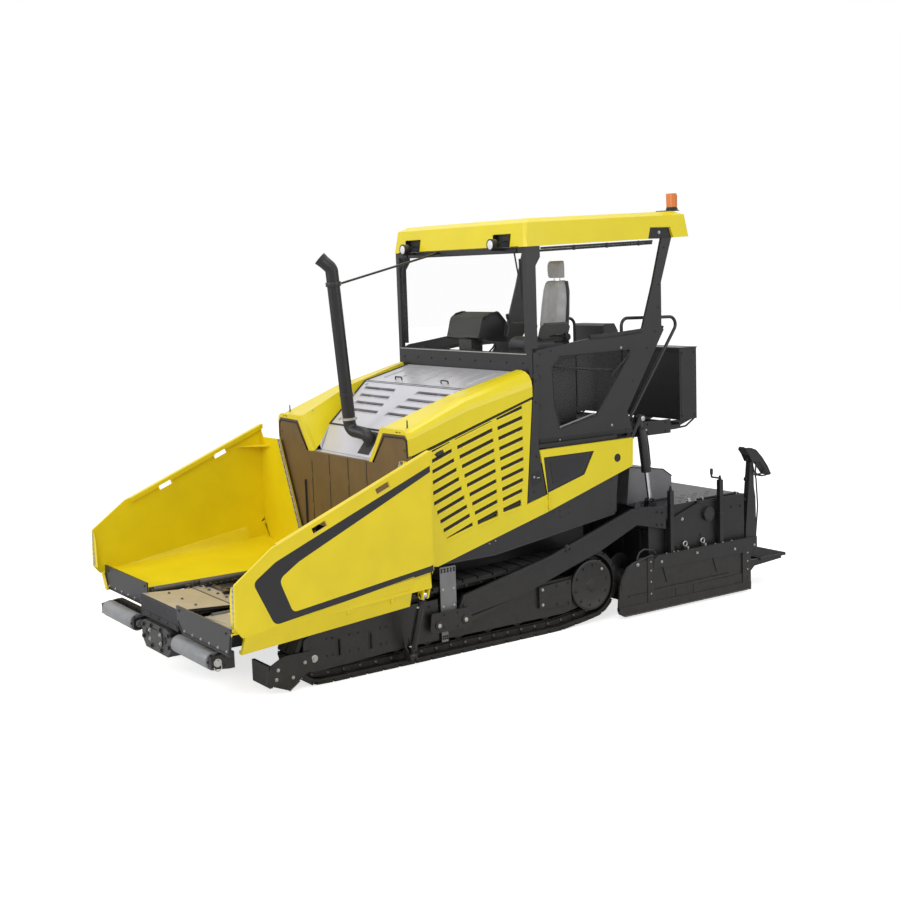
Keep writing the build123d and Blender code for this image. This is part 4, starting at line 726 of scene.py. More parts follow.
@both("paver", "track_frame_#", bevel=0.8)
def guide_plate(f):
    # pale guide plate beside the tow arm's nose, with rows of bolts at both ends
    f.plate("x", rounded(((2332, 150), (2332, 850), (2508, 850), (2508, 432), (2404, 428),
                          (2404, 150)), 8, 3), beam_face, guide_face, guide_grey)
    f.bolts("x", guide_face, grid(spread(2352, 2490, 5), (828, 806)), 13, dark)
    f.bolts("x", guide_face, grid(spread(2346, 2392, 3), (200, 178)), 13, dark)
    f.bolts("x", guide_face, grid((2360, 2480), (480, 640)), 15)


@both("paver", "track_wheels")
def roller_faces(f):
    # idler and roller side faces seen through the frame
    for s, z, r in [(1080, 270, 158)] + [(s, 177.5, 64) for s in spread(1560, 3640, 7)]:
        for x, way in ((1106.5, X1), (1013.5, -X1)):
            f.turned((x, s, z), way, ((0, r), (4, r * 0.97), (4, r * 0.72), (1, r * 0.68),
                                      (1, r * 0.45), (10, r * 0.4), (12, r * 0.2)), shoe_steel)


def straight(start, end):
    """Direction, length and spots of a line: a spot lies at a distance and a station off it."""
    run = end - start
    length = run.length * 1000
    run.normalize()
    return run, length, lambda along, off=0: start + (run * along + Y1 * off) / 1000


@both("wing_ram_#", "wing_barrel_#")
def wing_ram_fittings(f):
    # clamp, gland and hose stubs of the wing cylinder
    run, whole, spot = straight(P(1310, 1950, 110), P(1540, 1950, 722))
    f.turned(spot(whole - 95), run, ((0, 32.5), (2, 36), (30, 36), (33, 30)), dark_low, 24)
    f.turned(spot(75), run, ((0, 32.5), (2, 35.5), (18, 35.5), (20, 32.5)), dark_low, 24)
    for along in (110, whole - 130):
        f.turned(spot(along, -30), -Y1, ((0, 12), (10, 12), (12, 9), (22, 9)), zinc, 12)
    f.tube([spot(110, -45), spot(250, -48), spot(whole - 130, -45)], 6, black, 8)


# ---- side doors -------------------------------------------------------------------------
slot_rows, row_step = 10, 98
# station and height of each column's front top corner, and the slope of its slots
slot_columns = ((2283, 1940, 0.360), (2542, 2030, 0.315), (3016, 2166, 0.275))
door_skin = 1249.2
# x and height from a slot's lower edge: the lip under it, and the blade behind it, black as
# painted shade in the slot
lip_profile = ((door_skin, 0), (1253.5, -1.5), (1257, -5), (1257.6, -10), (1254.5, -22),
               (door_skin, -36))
shade_blade_profile = ((1220.5, 11), (1224, 15), (1248.8, -16), (1248.8, -20), (1244, -20))


def slot_span(column, t):
    """Front and rear station of a louvre, t running from the top row 0 to the bottom row 1."""
    if column == 0:
        return 2283 + 280 * max(0.0, t - 0.54), 2481 + 190 * t + 37 * t ** 2
    if column == 1:
        return 2542 + 190 * t + 32 * t ** 2, 2958 + 80 * t - 39 * t ** 2
    return 3016 + 75 * t - 28 * t ** 2, 3318 - 200 * max(0.0, t - 0.6) ** 1.7


@both("side_door_#", "side_door_#")
def louvre_lips(f):
    for column, (s_ref, z_ref, rise) in enumerate(slot_columns):
        for row in range(slot_rows):
            s0, s1 = slot_span(column, row / (slot_rows - 1))
            z0 = z_ref - row_step * row + rise * (s0 - s_ref)
            z1 = z0 + rise * (s1 - s0)
            drop0 = drop1 = 17
            if row == slot_rows - 1:
                drop0, drop1 = (23, 45) if column else (-7, 17)
            f.loft([[(door_skin + (x - door_skin) * fade, s0 + (s1 - s0) * t,
                      z0 - drop0 + (z1 - drop1 - z0 + drop0) * t + d) for x, d in lip_profile]
                    for t, fade in ((0, 0.25), (0.05, 1), (0.95, 1), (1, 0.25))], yellow)
            # blade behind the slot in black: painted shade of the dark gap between the blades
            f.loft([[(x, s, z + d) for x, d in shade_blade_profile]
                    for s, z in ((s0, z0), (s1, z1))], black)


@both("side_door_#", "side_door_#", bevel=0.6)
def door_trim(f):
    # black sheet a little behind the slots: painted shade of the engine bay seen through them
    f.plate("x", ((2260, 900), (3330, 1150), (3330, 1330), (3410, 2250), (2240, 1880),
                  (2230, 1000)), 1217, 1219.6, black)
    # pale hem along the top edge
    f.plate("x", ((2082, 1878), (3434, 2300), (3434, 2308), (2082, 1886)), 1249.6, 1251, yellow)
    # latch in its dark recess near the front top corner
    f.plate("x", rounded(((2292, 1921), (2392, 1956), (2420, 1900), (2332, 1876)), 12),
            1249.8, 1252, black)
    f.plate("x", rounded(((2318, 1914), (2384, 1937), (2398, 1908), (2338, 1890)), 9),
            1252, 1257, dark)
    # screws in the lower hem
    for s, z in ((2120, 920), (2300, 890), (2700, 985), (3200, 1118), (3560, 1220)):
        f.turned((1250, s, z), X1, ((-1, 9), (2, 9), (3, 6)), yellow, 14)


# ---- hood -------------------------------------------------------------------------------
# station, height and half width of the lid's lower edge, knee and rear edge
lid_rows = ((2330, 2040, 695), (2907, 2425, 925), (3470, 2556, 965))
lid_lean = atan2(385, 577)


@one("paver", "hood_lid", bevel=0.8)
def hood_lid_trim(f):
    for (s0, z0, w0), (s1, z1, w1) in zip(lid_rows, lid_rows[1:]):
        lean = atan2(z1 - z0, s1 - s0)
        f.prism([(w0 - 26, s0, z0), (w0, s0, z0), (w1, s1, z1), (w1 - 26, s1, z1)],
                (0, -7 * sin(lean), 7 * cos(lean)), rubber)
    # rolled lips in front of the long slots
    for k in range(4):
        v, inner, outer = 225 + 114 * k, 78 + 38 * k, 600 + 62 * k
        f.prism([(x, 2330 + d * cos(lid_lean), 2040 + d * sin(lid_lean)) for x, d in
                 ((inner, v - 9), (outer, v - 9), (outer, v - 1), (inner, v - 1))],
                (0, -5 * sin(lid_lean), 5 * cos(lid_lean)), silver)
    for spot in ((600, 2400, 2091), (820, 2860, 2398)):
        f.turned(spot, (0, -0.55, 0.83), ((-2, 18), (4, 18), (6, 12), (6, 4)), zinc, 18)
    # closers along the sides of the lid and of its front panel
    f.loft([[(690, 2332, 2038), (694, 2332, 2038), (690, 2332, 1966), (684, 2332, 1966)],
            [(836, 2700, 2284), (840, 2700, 2284), (866, 2700, 2214), (860, 2700, 2214)]],
           silver)
    f.loft([[(556, 2150, 1803), (562, 2150, 1803), (596, 2150, 1852), (590, 2150, 1852)],
            [(684, 2332, 1966), (690, 2332, 1966), (694, 2332, 2040), (688, 2332, 2040)]],
           silver)
    f.mirror()
    # handles on the upper slope
    for x in (-420, 420):
        f.tube([(x - 60, 3010, 2447), (x - 60, 3004, 2478), (x + 60, 3004, 2478),
                (x + 60, 3010, 2447)], 7, black, 10, bend=14)
    # seam at the knee
    for s, z in ((2896, 2417.7), (2916, 2427.1)):
        f.plate("x", ((s - 3, z), (s + 3, z + 1.4), (s + 3, z + 4.4), (s - 3, z + 3)), -920, 920,
                black)
    # front panel from the lid's lower edge down to the deck
    out = Vector((0, -238, 180)).normalized()
    f.prism([(-556, 2150, 1803), (556, 2150, 1803), (690, 2332, 2041), (-690, 2332, 2041)],
            out * -4, silver)
    f.prism([(120, 2166, 1826), (330, 2166, 1826), (318, 2316, 2022), (132, 2316, 2022)],
            out * 3, black)
    f.tube([(-690, 2330, 2043), (690, 2330, 2043)], 9, rubber, 10)


@one("paver", "hood_shoulders", bevel=0.6)
def shoulder_trim(f):
    # mirror pin, small slot and dot at the front of each shoulder
    f.turned((1125, 2110, 2143), Z1, ((-4, 16), (8, 16), (10, 7), (75, 6), (80, 3)), black, 14)
    f.box(1048, 1090, 2031.2, 2033, 2112, 2121, black)
    f.turned((1120, 2033, 2116), -Y1, ((-1, 8), (2, 8)), black, 14)
    # screws along the inner edge
    for spot in ((800, 2200, 2178), (870, 2480, 2286), (935, 2780, 2399), (965, 3080, 2461),
                 (1000, 3380, 2553)):
        f.turned(spot, Z1, ((0, 10), (6, 10), (8, 6)), zinc, 12)
    f.mirror()


@one("paver", "hood_deck", bevel=1)
def deck_fittings(f):
    # seals between side doors and shoulders
    f.plate("x", ((2080, 1891), (2080, 1905), (3438, 2326), (3438, 2312)), 1222, 1246, rubber)
    f.mirror()
    # pipe cap, bracket and cable loom under the exhaust
    f.turned((-280, 2240, 1800), Z1, ((0, 60), (12, 60), (16, 45), (50, 45), (56, 30)), black)
    f.plate("s", ((180, 1800), (180, 1960), (205, 1985), (255, 1985), (280, 1960), (280, 1800)),
            2338, 2346, dark)
    f.tube([(-500, 2330, 1812), (-120, 2300, 1812), (120, 2360, 1822), (420, 2345, 1812)], 14,
           black, 10, bend=80)


@one("paver", "exhaust_stack")
def exhaust_clamps(f):
    # band clamps on the stack, their bolts, and its flared mouth
    run, whole, spot = straight(P(0, 2170, 2040), P(0, 2040, 3600))
    for along, finish in ((100, zinc), (340, dark), (1395, dark)):
        f.turned(spot(along), run, ((0, 63), (2, 66), (24, 66), (26, 63)), finish, 36)
        s, z = 2230 - 130 * along / 1565, 2040 + 1560 * along / 1565
        f.box(-14, 14, s, s + 22, z, z + 22, zinc)
    way = Vector((-0.06, -0.09, 0.10)).normalized()
    f.turned(P(-60, 1950, 3700) - way * 0.045, way, ((0, 62.5), (30, 66), (44, 67), (46, 62),
                                                     (40, 55), (0, 52)), dark, 36)
    f.turned((230, 2290, 1850), Z1, ((0, 62), (2, 70), (22, 70), (24, 62)), zinc, 32)


# ---- pillars, rear panels, skirts -------------------------------------------------------
@one("paver", "body_pillars", bevel=0.6)
def pillar_hatch(f):
    # hatch in the pillar with its lock
    f.plate("x", rounded(((3412, 1470), (3408, 1600), (3520, 1628), (3536, 1500)), 14),
            1246, 1248, dark)
    f.plate("x", rounded(((3418, 1478), (3415, 1594), (3513, 1618), (3528, 1508)), 10),
            1248, 1249, black)
    f.bolts("x", 1249, ((3440, 1565),), 13)
    f.box(1249, 1251, 3470, 3506, 1550, 1558, zinc)
    f.bolts("x", 1246, ((3480, 1760), (3440, 1420), (3490, 2280), (3498, 2480)), 15, dark)
    f.mirror()


@both("paver", "rear_side_panels", bevel=0.5)
def rear_panel_trim(f):
    # thin frame round the dark inset
    outer = ((3566, 1736), (4180, 1736), (4052, 1526), (3606, 1399))
    inner = ((3580, 1726), (4164, 1726), (4046, 1536), (3616, 1412))
    for i in range(4):
        f.plate("x", (outer[i - 1], outer[i], inner[i], inner[i - 1]), 1244, 1246, black)
    # raised facet inside it
    f.plate("x", ((3640, 1700), (4080, 1700), (4006, 1560), (3668, 1462)), 1244, 1246.5, stripe)
    # filler door, a round flap with a turned edge and a key slot
    f.turned((1238, 4490, 1640), X1, ((0, 41), (8, 41), (10.5, 37), (9, 30), (9, 0)), black, 32)
    f.box(1246, 1250, 4468, 4512, 1633, 1646, black)
    for s, z in ((4640, 1780), (4640, 1580), (3660, 1776), (4200, 1780)):
        f.turned((1250, s, z), X1, ((-1, 8), (1.5, 8), (2.5, 5)), yellow, 12)


skirt_face = 1212


@both("paver", "frame_skirts", bevel=0.6)
def skirt_trim(f):
    f.bolts("x", skirt_face, ((2915, 1058), (2985, 1076), (2915, 990), (2985, 1008)), 13)
    f.bolts("x", skirt_face, ((3700, 1190), (4420, 1180), (4440, 1420), (3420, 1120),
                              (2400, 900), (4000, 1300)), 13, dark)
    # stiffening fold along the lower edge and a drain plate
    f.tube([(skirt_face, s, z) for s, z in ((2120, 874), (2970, 874), (4468, 1074))], 7, dark, 8)
    f.plate("x", rounded(((3760, 1120), (3760, 1200), (3900, 1240), (3900, 1140)), 12),
            skirt_face, skirt_face + 3, dark)
    f.bolts("x", skirt_face + 3, ((3775, 1135), (3885, 1155), (3885, 1225), (3775, 1190)), 11,
            dark)


# ---- cab --------------------------------------------------------------------------------
cab_face = 1150


@both("paver", "cab_side_#", bevel=0.6)
def cab_trim(f):
    f.bolts("x", cab_face, ((3839, 1877), (4510, 1959), (4648, 2722)), 15)
    f.bolts("x", cab_face, ((3597, 2612), (4807, 2381), (5000, 2700), (5120, 2860),
                            (5160, 3100), (5175, 3330), (5250, 3700), (3625, 2720),
                            (3760, 2745), (5215, 2900), (4700, 1900)), 15, dark)
    # glazing strip round the side window
    f.edging("x", 1149, ((3771, 2589), (3866, 2688), (4760, 2702), (4776, 2656), (4314, 2072),
                         (3851, 1986), (3787, 2225)), 7, rubber, 8)
    # padded roll along the top edge and a shorter one in the window
    f.tube([(1136, 4254, 2842), (1136, 4600, 2852), (1136, 4924, 2872)], 25, rubber, 16,
           bend=100)
    f.tube([(1128, 3849, 2664), (1128, 4265, 2712)], 20, rubber, 14)
    for s, z in ((4300, 2842), (4860, 2868)):
        f.box(1108, 1149, s - 8, s + 8, z - 34, z + 6, dark)
    # bright bar low in the window, latch bar along its rear edge, inner bar
    f.tube([(1152, 3843, 1999), (1152, 4277, 2094)], 9, bright_trim, 12)
    for s, z in ((3850, 2000), (4270, 2092)):
        f.turned((cab_face, s, z), X1, ((0, 14), (8, 14), (12, 9)), bright_trim, 14)
    f.tube([(1150, 4507, 2437), (1156, 4530, 2470), (1156, 4750, 2650), (1150, 4768, 2680)],
           10, black, 10, bend=30)
    f.tube([(1105, 3763, 2590), (1105, 4553, 2501)], 12, black, 10)
    # hinge blocks and lower step plate
    for z in (2200, 2480):
        f.box(cab_face, cab_face + 8, 3565, 3625, z, z + 44, black)
    f.box(cab_face, cab_face + 3, 3600, 4780, 1866, 1904, black)


@one("paver", "windscreen_frame", bevel=0.6)
def windscreen_trim(f):
    # black strip round the windscreen, the wipers and the hood seal's rollers
    f.box(1088, 1096, 3500, 3508, 2736, 3686, rubber)
    f.box(915, 1005, 3480, 3502, 3690, 3726, black)
    f.tube([(960, 3492, 3700), (1000, 3488, 3560), (1030, 3496, 3420)], 8, black, 8)
    f.tube([(1030, 3502, 3630), (1040, 3502, 3250)], 10, rubber, 8)
    for x in (230, 700):
        f.turned((x, 3511, 2730), Z1, ((0, 14), (20, 14), (24, 9)), black, 12)
    f.mirror()
    for z in (2730, 3682):
        f.box(-1090, 1090, 3500, 3508, z, z + 8, rubber)
    f.bolts("-s", 3490, [(x, 2640) for x in spread(-1050, 1050, 9)], 15, dark)
    f.box(-1120, 1120, 3484, 3492, 2722, 2731, zinc)


@one("paver", "roof", bevel=0.6)
def roof_trim(f):
    # rail along the roof's foot with its clips
    f.plate("x", ((3657, 3712), (5083, 3754), (5083, 3776), (3657, 3734)), 1156, 1162, black)
    f.tube([(1150, 3660, 3700), (1150, 5080, 3743)], 11, black, 12)
    for s in (4072, 4489, 4905):
        z = 3700 + 0.0303 * (s - 3660)
        f.turned((1150, s - 12, z), Y1, ((0, 15), (24, 15)), dark, 16)
        f.box(1146, 1156, s - 6, s + 6, z, z + 36, dark)
    # liner of the side cut-out with its bolt
    f.plate("x", ((5026, 3788), (5367, 3788), (5330, 3898), (5067, 3898)), 1131.5, 1134, black)
    f.bolts("x", 1134, ((5195, 3850),), 20)
    # liners of the lamp recesses
    f.box(652, 918, 3526, 3528, 3742, 3868, black)
    for x in (652, 915):
        f.box(x, x + 3, 3472, 3527, 3742, 3868, black)
    # drip edge along the rim
    f.box(1161, 1164.8, 3510, 3512, 3744, 3746, yellow)
    f.mirror()
    f.box(-1060, 1060, 3468.8, 3470, 3741, 3747, black)
    f.box(-300, 300, 4200, 4800, 3800, 3806, dark)


@one("paver", "roof_lights")
def lamp_lenses(f):
    front, rear = (780, 3345, 3772), (780, 3400, 3772)
    f.turned(front, -Y1, ((-12, 56), (4, 56), (6, 52), (3, 47)), black, 32)
    f.turned(front, -Y1, ((1, 46), (6, 40), (9, 26), (10, 4)), lamp, 32)
    f.turned(rear, Y1, ((0, 50), (16, 40), (26, 20)), black)
    f.tube([(780, 3424, 3772), (790, 3460, 3790), (800, 3520, 3800)], 6, black, 8)
    for x in (754, 800):
        f.box(x, x + 6, 3352, 3410, 3718, 3780, black)
    f.mirror()
    # beacon: foot, ribbed lens and cap
    beacon = (985, 5518, 4066)
    f.turned(beacon, Z1, ((8, 60), (30, 60), (34, 55.5), (40, 54.5)), black, 36)
    for x, s in circle(*beacon[:2], 53.5, 18):
        f.tube([(x, s, beacon[2] + 45), (x, s, beacon[2] + 162)], 2.2, amber, 6)
    f.turned(beacon, Z1, ((160, 54.5), (168, 52), (176, 40), (180.5, 15)), amber, 36)


# ---- operator's console and platform ----------------------------------------------------
def sloped_face(middle, down, out):
    """Spots and plates on a sloped panel: x, distance down its slope, and lift off it."""
    down, out = Vector(down).normalized(), Vector(out).normalized()

    def spot(x, along, lift=0):
        return P(x, *middle) + (down * along + out * lift) / 1000

    def pad(f, x0, x1, d0, d1, lift, thick, finish):
        f.prism([spot(x, d, lift) for x, d in ((x0, d0), (x1, d0), (x1, d1), (x0, d1))],
                out * thick, finish)

    return spot, pad, out


@one("paver", "operator_console", bevel=1.2)
def console_detail(f):
    # cheeks of the console's head
    cheek = ((3560, 2850), (3612, 3040), (3640, 3072), (3800, 3118), (3830, 3100), (3968, 2920),
             (3972, 2890), (3905, 2796))
    f.plate("x", cheek, -334, -330, dark)
    f.plate("x", cheek, 230, 234, dark)
    # face with its screen, keys and knobs
    spot, pad, out = sloped_face((3800, 3110), (0, 160, -210), (0, 210, 160))
    pad(f, -316, 216, 14, 250, 0, 4, plastic)
    pad(f, -120, 80, 40, 170, 4, 3, screen_black)
    for i, j in grid(range(3), range(5)):
        a = 44 + 38 * j
        pad(f, -292 + 36 * i, -268 + 36 * i, a, a + 22, 4, 3,
            label_grey if j else (label_grey, zinc, amber)[i])
        pad(f, 104 + 36 * i, 128 + 36 * i, a, a + 22, 4, 3, label_grey)
    for x in (-90, -20, 50):
        f.turned(spot(x, 206, 3), out, ((0, 18), (6, 17), (22, 13), (26, 9)), black, 20)
    # hand grips at both sides of the panel
    for x in (-350, 250):
        f.tube([(x, 3640, 3040), (x, 3700, 3090), (x, 3800, 3110), (x, 3900, 3000),
                (x, 3880, 2860)], 11, black, 10, bend=40)
    # small wheel with its hub and spokes
    ring = [spot(x, d, 30) for x, d in circle(-20, 320, 95, 28)]
    f.tube(ring + ring[:1], 11, black, 10)
    f.turned(spot(-20, 320, -30), out, ((0, 20), (55, 22), (64, 12)), black, 18)
    for a in (0.5, 2.6, 4.7):
        f.tube([spot(-20, 320, 28), spot(-20 + 95 * cos(a), 320 + 95 * sin(a), 30)], 6, black, 8)
    # cables down the column, bolts along its foot
    for x in (-70, 70):
        f.tube([(x, 3702, 2560), (x, 3712, 2700), (x, 3702, 2830)], 12, black, 10)
    f.bolts("z", 2600, [(x, 3620) for x in spread(-900, 900, 7)], 16, dark)


@one("paver", "platform_floor", bevel=0.4)
def platform_grip(f):
    f.bolts("x", 1030, grid((4600, 4850, 5100, 5350), (1900, 1812)), 16, dark)
    f.mirror()
    f.chequer(range(-900, 1020, 128), range(4590, 5526, 78), 18, 5, 1860, 2.2, dark)
    f.box(-1025, 1025, 5548, 5560, 1860, 1884, dark)


@one("paver", "rear_box", bevel=2)
def rear_box_doors(f):
    # side plates with their bolts, and the cable under the box
    f.plate("x", rounded(((5700, 1910), (5700, 2610), (5905, 2610), (5905, 1910)), 12),
            900, 903, dark)
    f.bolts("x", 903, grid((5716, 5889), (1926, 2594)), 15, dark)
    f.tube([(880, 5600, 1800), (880, 5780, 1812), (880, 5900, 1884)], 10, black, 10, bend=30)
    f.mirror()
    # doors with handle, lock and hinges
    for x0, x1 in ((-896, -306), (-294, 294), (306, 896)):
        f.box(x0, x1, 5925, 5929, 1910, 2590, dark)
        f.box(x1 - 90, x1 - 40, 5929, 5940, 2220, 2290, black)
        f.bolts("s", 5940, ((x1 - 65, 2255),), 18)
        for z in (1990, 2500):
            f.turned((x0 + 6, 5933, z), Z1, ((0, 9), (70, 9)), black, 12)
    f.box(-906, 906, 5674, 5931, 2640, 2652, dark)
    f.box(-904, 904, 5676, 5684, 2600, 2640, black)
    # taller cupboard on the far half
    f.plate("x", ((5690, 2650), (5690, 2862), (5722, 2884), (5860, 2884), (5912, 2800),
                  (5912, 2650)), -862, -332, dark)
    f.plate("x", ((5700, 2660), (5700, 2856), (5726, 2874), (5855, 2874), (5902, 2796),
                  (5902, 2660)), -332, -329, dark)


@one("paver", "platform_rails")
def rail_feet(f):
    for x, s in ((1000, 4790), (1000, 4870), (-640, 5530), (-640, 5100)):
        f.turned((x, s, 1860), Z1, ((0, 36), (8, 36), (10, 30), (10, 17.2), (30, 17.2)), black,
                 20)
        f.bolts("z", 1868, [(x + 28 * cos(a), s + 28 * sin(a)) for a in (0.6, 2.2, 3.8, 5.4)],
                9, dark)
    f.tube([(1000, 4806, 2850), (1122, 4806, 2850)], 12, black, 12)
    f.turned((1000, 4790, 2850), Z1, ((-20, 17.2), (-18, 21), (18, 21), (20, 17.2)), black, 16)


# ---- operator's seat --------------------------------------------------------------------
@one("paver", "seat_base", bevel=1)
def seat_fittings(f):
    # armrest pods and their pads
    for x0, x1, lean in ((428, 456, 40), (944, 972, -40)):
        f.plate("x", rounded(((3760, 2860), (3790, 2960), (3830, 2985), (4120, 2985),
                              (4150, 2960), (4130, 2900), (3900, 2880), (3840, 2850)), 18),
                x0, x1, plastic)
        f.plate("x", rounded(((3840, 2985), (3840, 3003), (4110, 3003), (4130, 2985)), 8),
                x0 - 4, x1 + 4, seat_vinyl)
        mid = (x0 + x1) / 2
        f.tube([(mid, 4090, 2895), (mid, 4130, 2800), (mid + lean, 4140, 2760)], 14, black, 10,
               bend=30)
    # drive lever
    f.turned((442, 3800, 2965), (0, -0.2, 1), ((0, 18), (20, 12), (70, 11), (85, 17), (120, 17),
                                               (130, 9)), black, 20)
    # bellows, slide rails and lever of the seat's foot
    for k in range(7):
        half, z = 171 if k % 2 else 176, 2676 + 7 * k
        f.box(700 - half, 700 + half, 3790, 4130, z, z + 6, rubber)
    for x in (520, 880):
        f.box(x - 10, x + 10, 3742, 4186, 2712, 2730, dark)
    f.tube([(520, 3760, 2716), (520, 3735, 2716), (880, 3735, 2716), (880, 3760, 2716)], 7,
           black, 8, bend=20)


seat_mid = 700
# shares across and up a cushion; shares across and through a backrest
cushion_section = (
    (-1, 0.12), (-0.94, 0), (-0.4, -0.02), (0.4, -0.02), (0.94, 0), (1, 0.12), (1, 0.6),
    (0.86, 0.98), (0.62, 1.02), (0.3, 0.94), (0, 0.92), (-0.3, 0.94), (-0.62, 1.02),
    (-0.86, 0.98), (-1, 0.6))
back_section = (
    (-1, 0.5), (-0.98, 0.16), (-0.80, -0.02), (-0.55, 0.02), (-0.28, 0.16), (0, 0.18),
    (0.28, 0.16), (0.55, 0.02), (0.80, -0.02), (0.98, 0.16), (1, 0.5), (0.9, 0.9), (0.4, 1),
    (-0.4, 1), (-0.9, 0.9))


def back_rings(levels, half, thick):
    """Rings up a backrest: levels are (height, front station, share of the half width)."""
    return [[P(seat_mid + u * half * share, s + v * thick, z) for u, v in back_section]
            for z, s, share in levels]


def fresh_mesh(obj):
    """Mesh of an object as its modifiers leave it."""
    return bpy.data.meshes.new_from_object(obj.evaluated_get(
        bpy.context.evaluated_depsgraph_get()))


def pad_mesh(name, rings, voxel, cap, finish):
    """Closed form through rings, blown up as cloth so that its faces crown; cap in metres."""
    obj = mesh_object(name, [v for ring in rings for v in ring], skin(rings))
    remesh = obj.modifiers.new("even", "REMESH")
    remesh.mode = "VOXEL"
    remesh.voxel_size = voxel
    bpy.context.view_layer.update()
    even = fresh_mesh(obj)
    obj.modifiers.clear()
    obj.data = even
    start = [v.co.copy() for v in even.vertices]
    cloth = obj.modifiers.new("cloth", "CLOTH")
    cloth.settings.use_pressure = True
    cloth.settings.uniform_pressure_force = 3.5
    cloth.settings.effector_weights.gravity = 0
    cloth.settings.quality = 6
    cloth.point_cache.frame_start = 1
    cloth.point_cache.frame_end = 20
    for k in range(1, 21):
        bpy.context.scene.frame_set(k)
    puffed = fresh_mesh(obj)
    bpy.context.scene.frame_set(1)
    obj.modifiers.clear()
    for v, was in zip(puffed.vertices, start):
        move = v.co - was
        if move.length > cap:
            v.co = was + move.normalized() * cap
    obj.data = puffed
    obj.data.materials.clear()
    obj.data.materials.append(finish)
    for poly in obj.data.polygons:
        poly.use_smooth = True
    soft = obj.modifiers.new("even_out", "SMOOTH")
    soft.factor = 0.5
    soft.iterations = 3
    sub = obj.modifiers.new("fine", "SUBSURF")
    sub.levels = sub.render_levels = 1
    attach(obj, "paver")
    return obj


# rings along the cushion are (station, drawn in, lower and upper height)
cushion = pad_mesh("seat_cushion", [
    [P(seat_mid + u * (236 - drawn), s, z0 + v * (z1 - z0)) for u, v in cushion_section]
    for s, drawn, z0, z1 in (
        (3724, 40, 2770, 2822), (3738, 16, 2752, 2848), (3790, 8, 2742, 2860),
        (3950, 8, 2740, 2846), (4080, 8, 2740, 2842), (4172, 14, 2744, 2846),
        (4184, 34, 2758, 2832))], 0.0095, 0.012, seat_vinyl)
pad_mesh("seat_backrest", back_rings(
    ((2858, 4112, 0.84), (2880, 4104, 0.94), (2960, 4104, 0.99), (3080, 4116, 1.0),
     (3200, 4132, 0.97), (3320, 4146, 0.88), (3392, 4156, 0.74), (3414, 4166, 0.62)),
    190, 96), 0.0095, 0.012, seat_cloth)
pad_mesh("seat_headrest", back_rings(
    ((3432, 4180, 0.86), (3444, 4172, 0.96), (3500, 4168, 1.0), (3560, 4168, 0.98),
     (3590, 4174, 0.88), (3600, 4184, 0.72)), 108, 78), 0.0075, 0.009, seat_cloth)
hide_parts("operator_seat")


@one("paver", "operator_seat", bevel=1.5)
def seat_shell(f):
    # shell behind the pads, posts of the headrest, pan under the cushion
    f.loft(back_rings(((2800, 4160, 0.8), (2860, 4172, 0.98), (3080, 4186, 1.02),
                       (3300, 4206, 0.94), (3400, 4214, 0.76)), 186, 46), plastic)
    for x in (655, 745):
        f.tube([(x, 4218, 3380), (x, 4216, 3470)], 7, chrome, 12)
    f.box(seat_mid - 200, seat_mid + 200, 3760, 4176, 2733, 2750, plastic)
    # recliner joints and the levers in front of them
    for way in (-1, 1):
        x = seat_mid + way * 200
        f.turned((x, 4168, 2850), X1 * way, ((-30, 36), (12, 36), (20, 26)), black, 24)
        f.tube([(x + way * 14, 4150, 2835), (x + way * 18, 4080, 2815),
                (x + way * 18, 4000, 2812)], 10, black, 10, bend=30)
    # buckle and reel of the belt
    f.box(930, 950, 4110, 4150, 2800, 2872, black)
    f.box(452, 470, 4100, 4160, 2772, 2850, black)


# ---- hoist cylinders and tow arms --------------------------------------------------------
@both("hoist_#", "hoist_barrel_#")
def hoist_fittings(f):
    # gland, clamp and hose stubs of the hoist cylinder
    run, whole, spot = straight(P(1090, 4936, 1984), P(1090, 5060, 1115))
    f.turned(spot(520), run, ((0, 48.5), (3, 53), (42, 53), (45, 46)), black)
    f.turned(spot(92), run, ((0, 48.5), (3, 52), (20, 52), (23, 48.5)), black)
    for along in (130, 500):
        f.turned(spot(along, 46), Y1, ((0, 14), (12, 14), (14, 10), (26, 10)), zinc, 12)
    f.tube([spot(130, 66), spot(300, 72), spot(500, 66)], 8, black, 8)


@one("paver", "hoist_mounts", bevel=0.8)
def hoist_mount_bolts(f):
    f.turned((1136, 4936, 1984), X1, ((-4, 26), (6, 26), (8, 20)), zinc, 20)
    f.bolts("x", 1134, ((4560, 1560), (4560, 1740), (4680, 1780)), 20, dark)
    # bracket under the platform
    f.box(900, 1020, 4560, 4600, 1560, 1800, black)
    f.mirror()


@both("screed", "tow_arms", bevel=1)
def tow_arm_detail(f):
    f.turned((1273, 3800, 840), X1, ((-1, 24), (3, 24), (4, 18)), dark_low, 20)
    f.bolts("x", 1273, ((4990, 1030), (5060, 1015), (4990, 900), (5060, 890), (3790, 800),
                        (3840, 812)), 20, dark_low)
    # weld bead along the upper flange, a lifting eye and the nose's bolt
    f.tube([(1273, 2600, 545), (1273, 3590, 762), (1273, 4640, 1082), (1273, 4900, 1072)], 5,
           dark_low, 6)
    f.plate("x", rounded(((4690, 1090), (4700, 1160), (4760, 1160), (4775, 1084)), 20),
            1246, 1260, dark_low)
    f.bolts("x", 1273, ((2560, 470),), 24, dark_low)


# ---- screed -----------------------------------------------------------------------------
deck_top = 1060


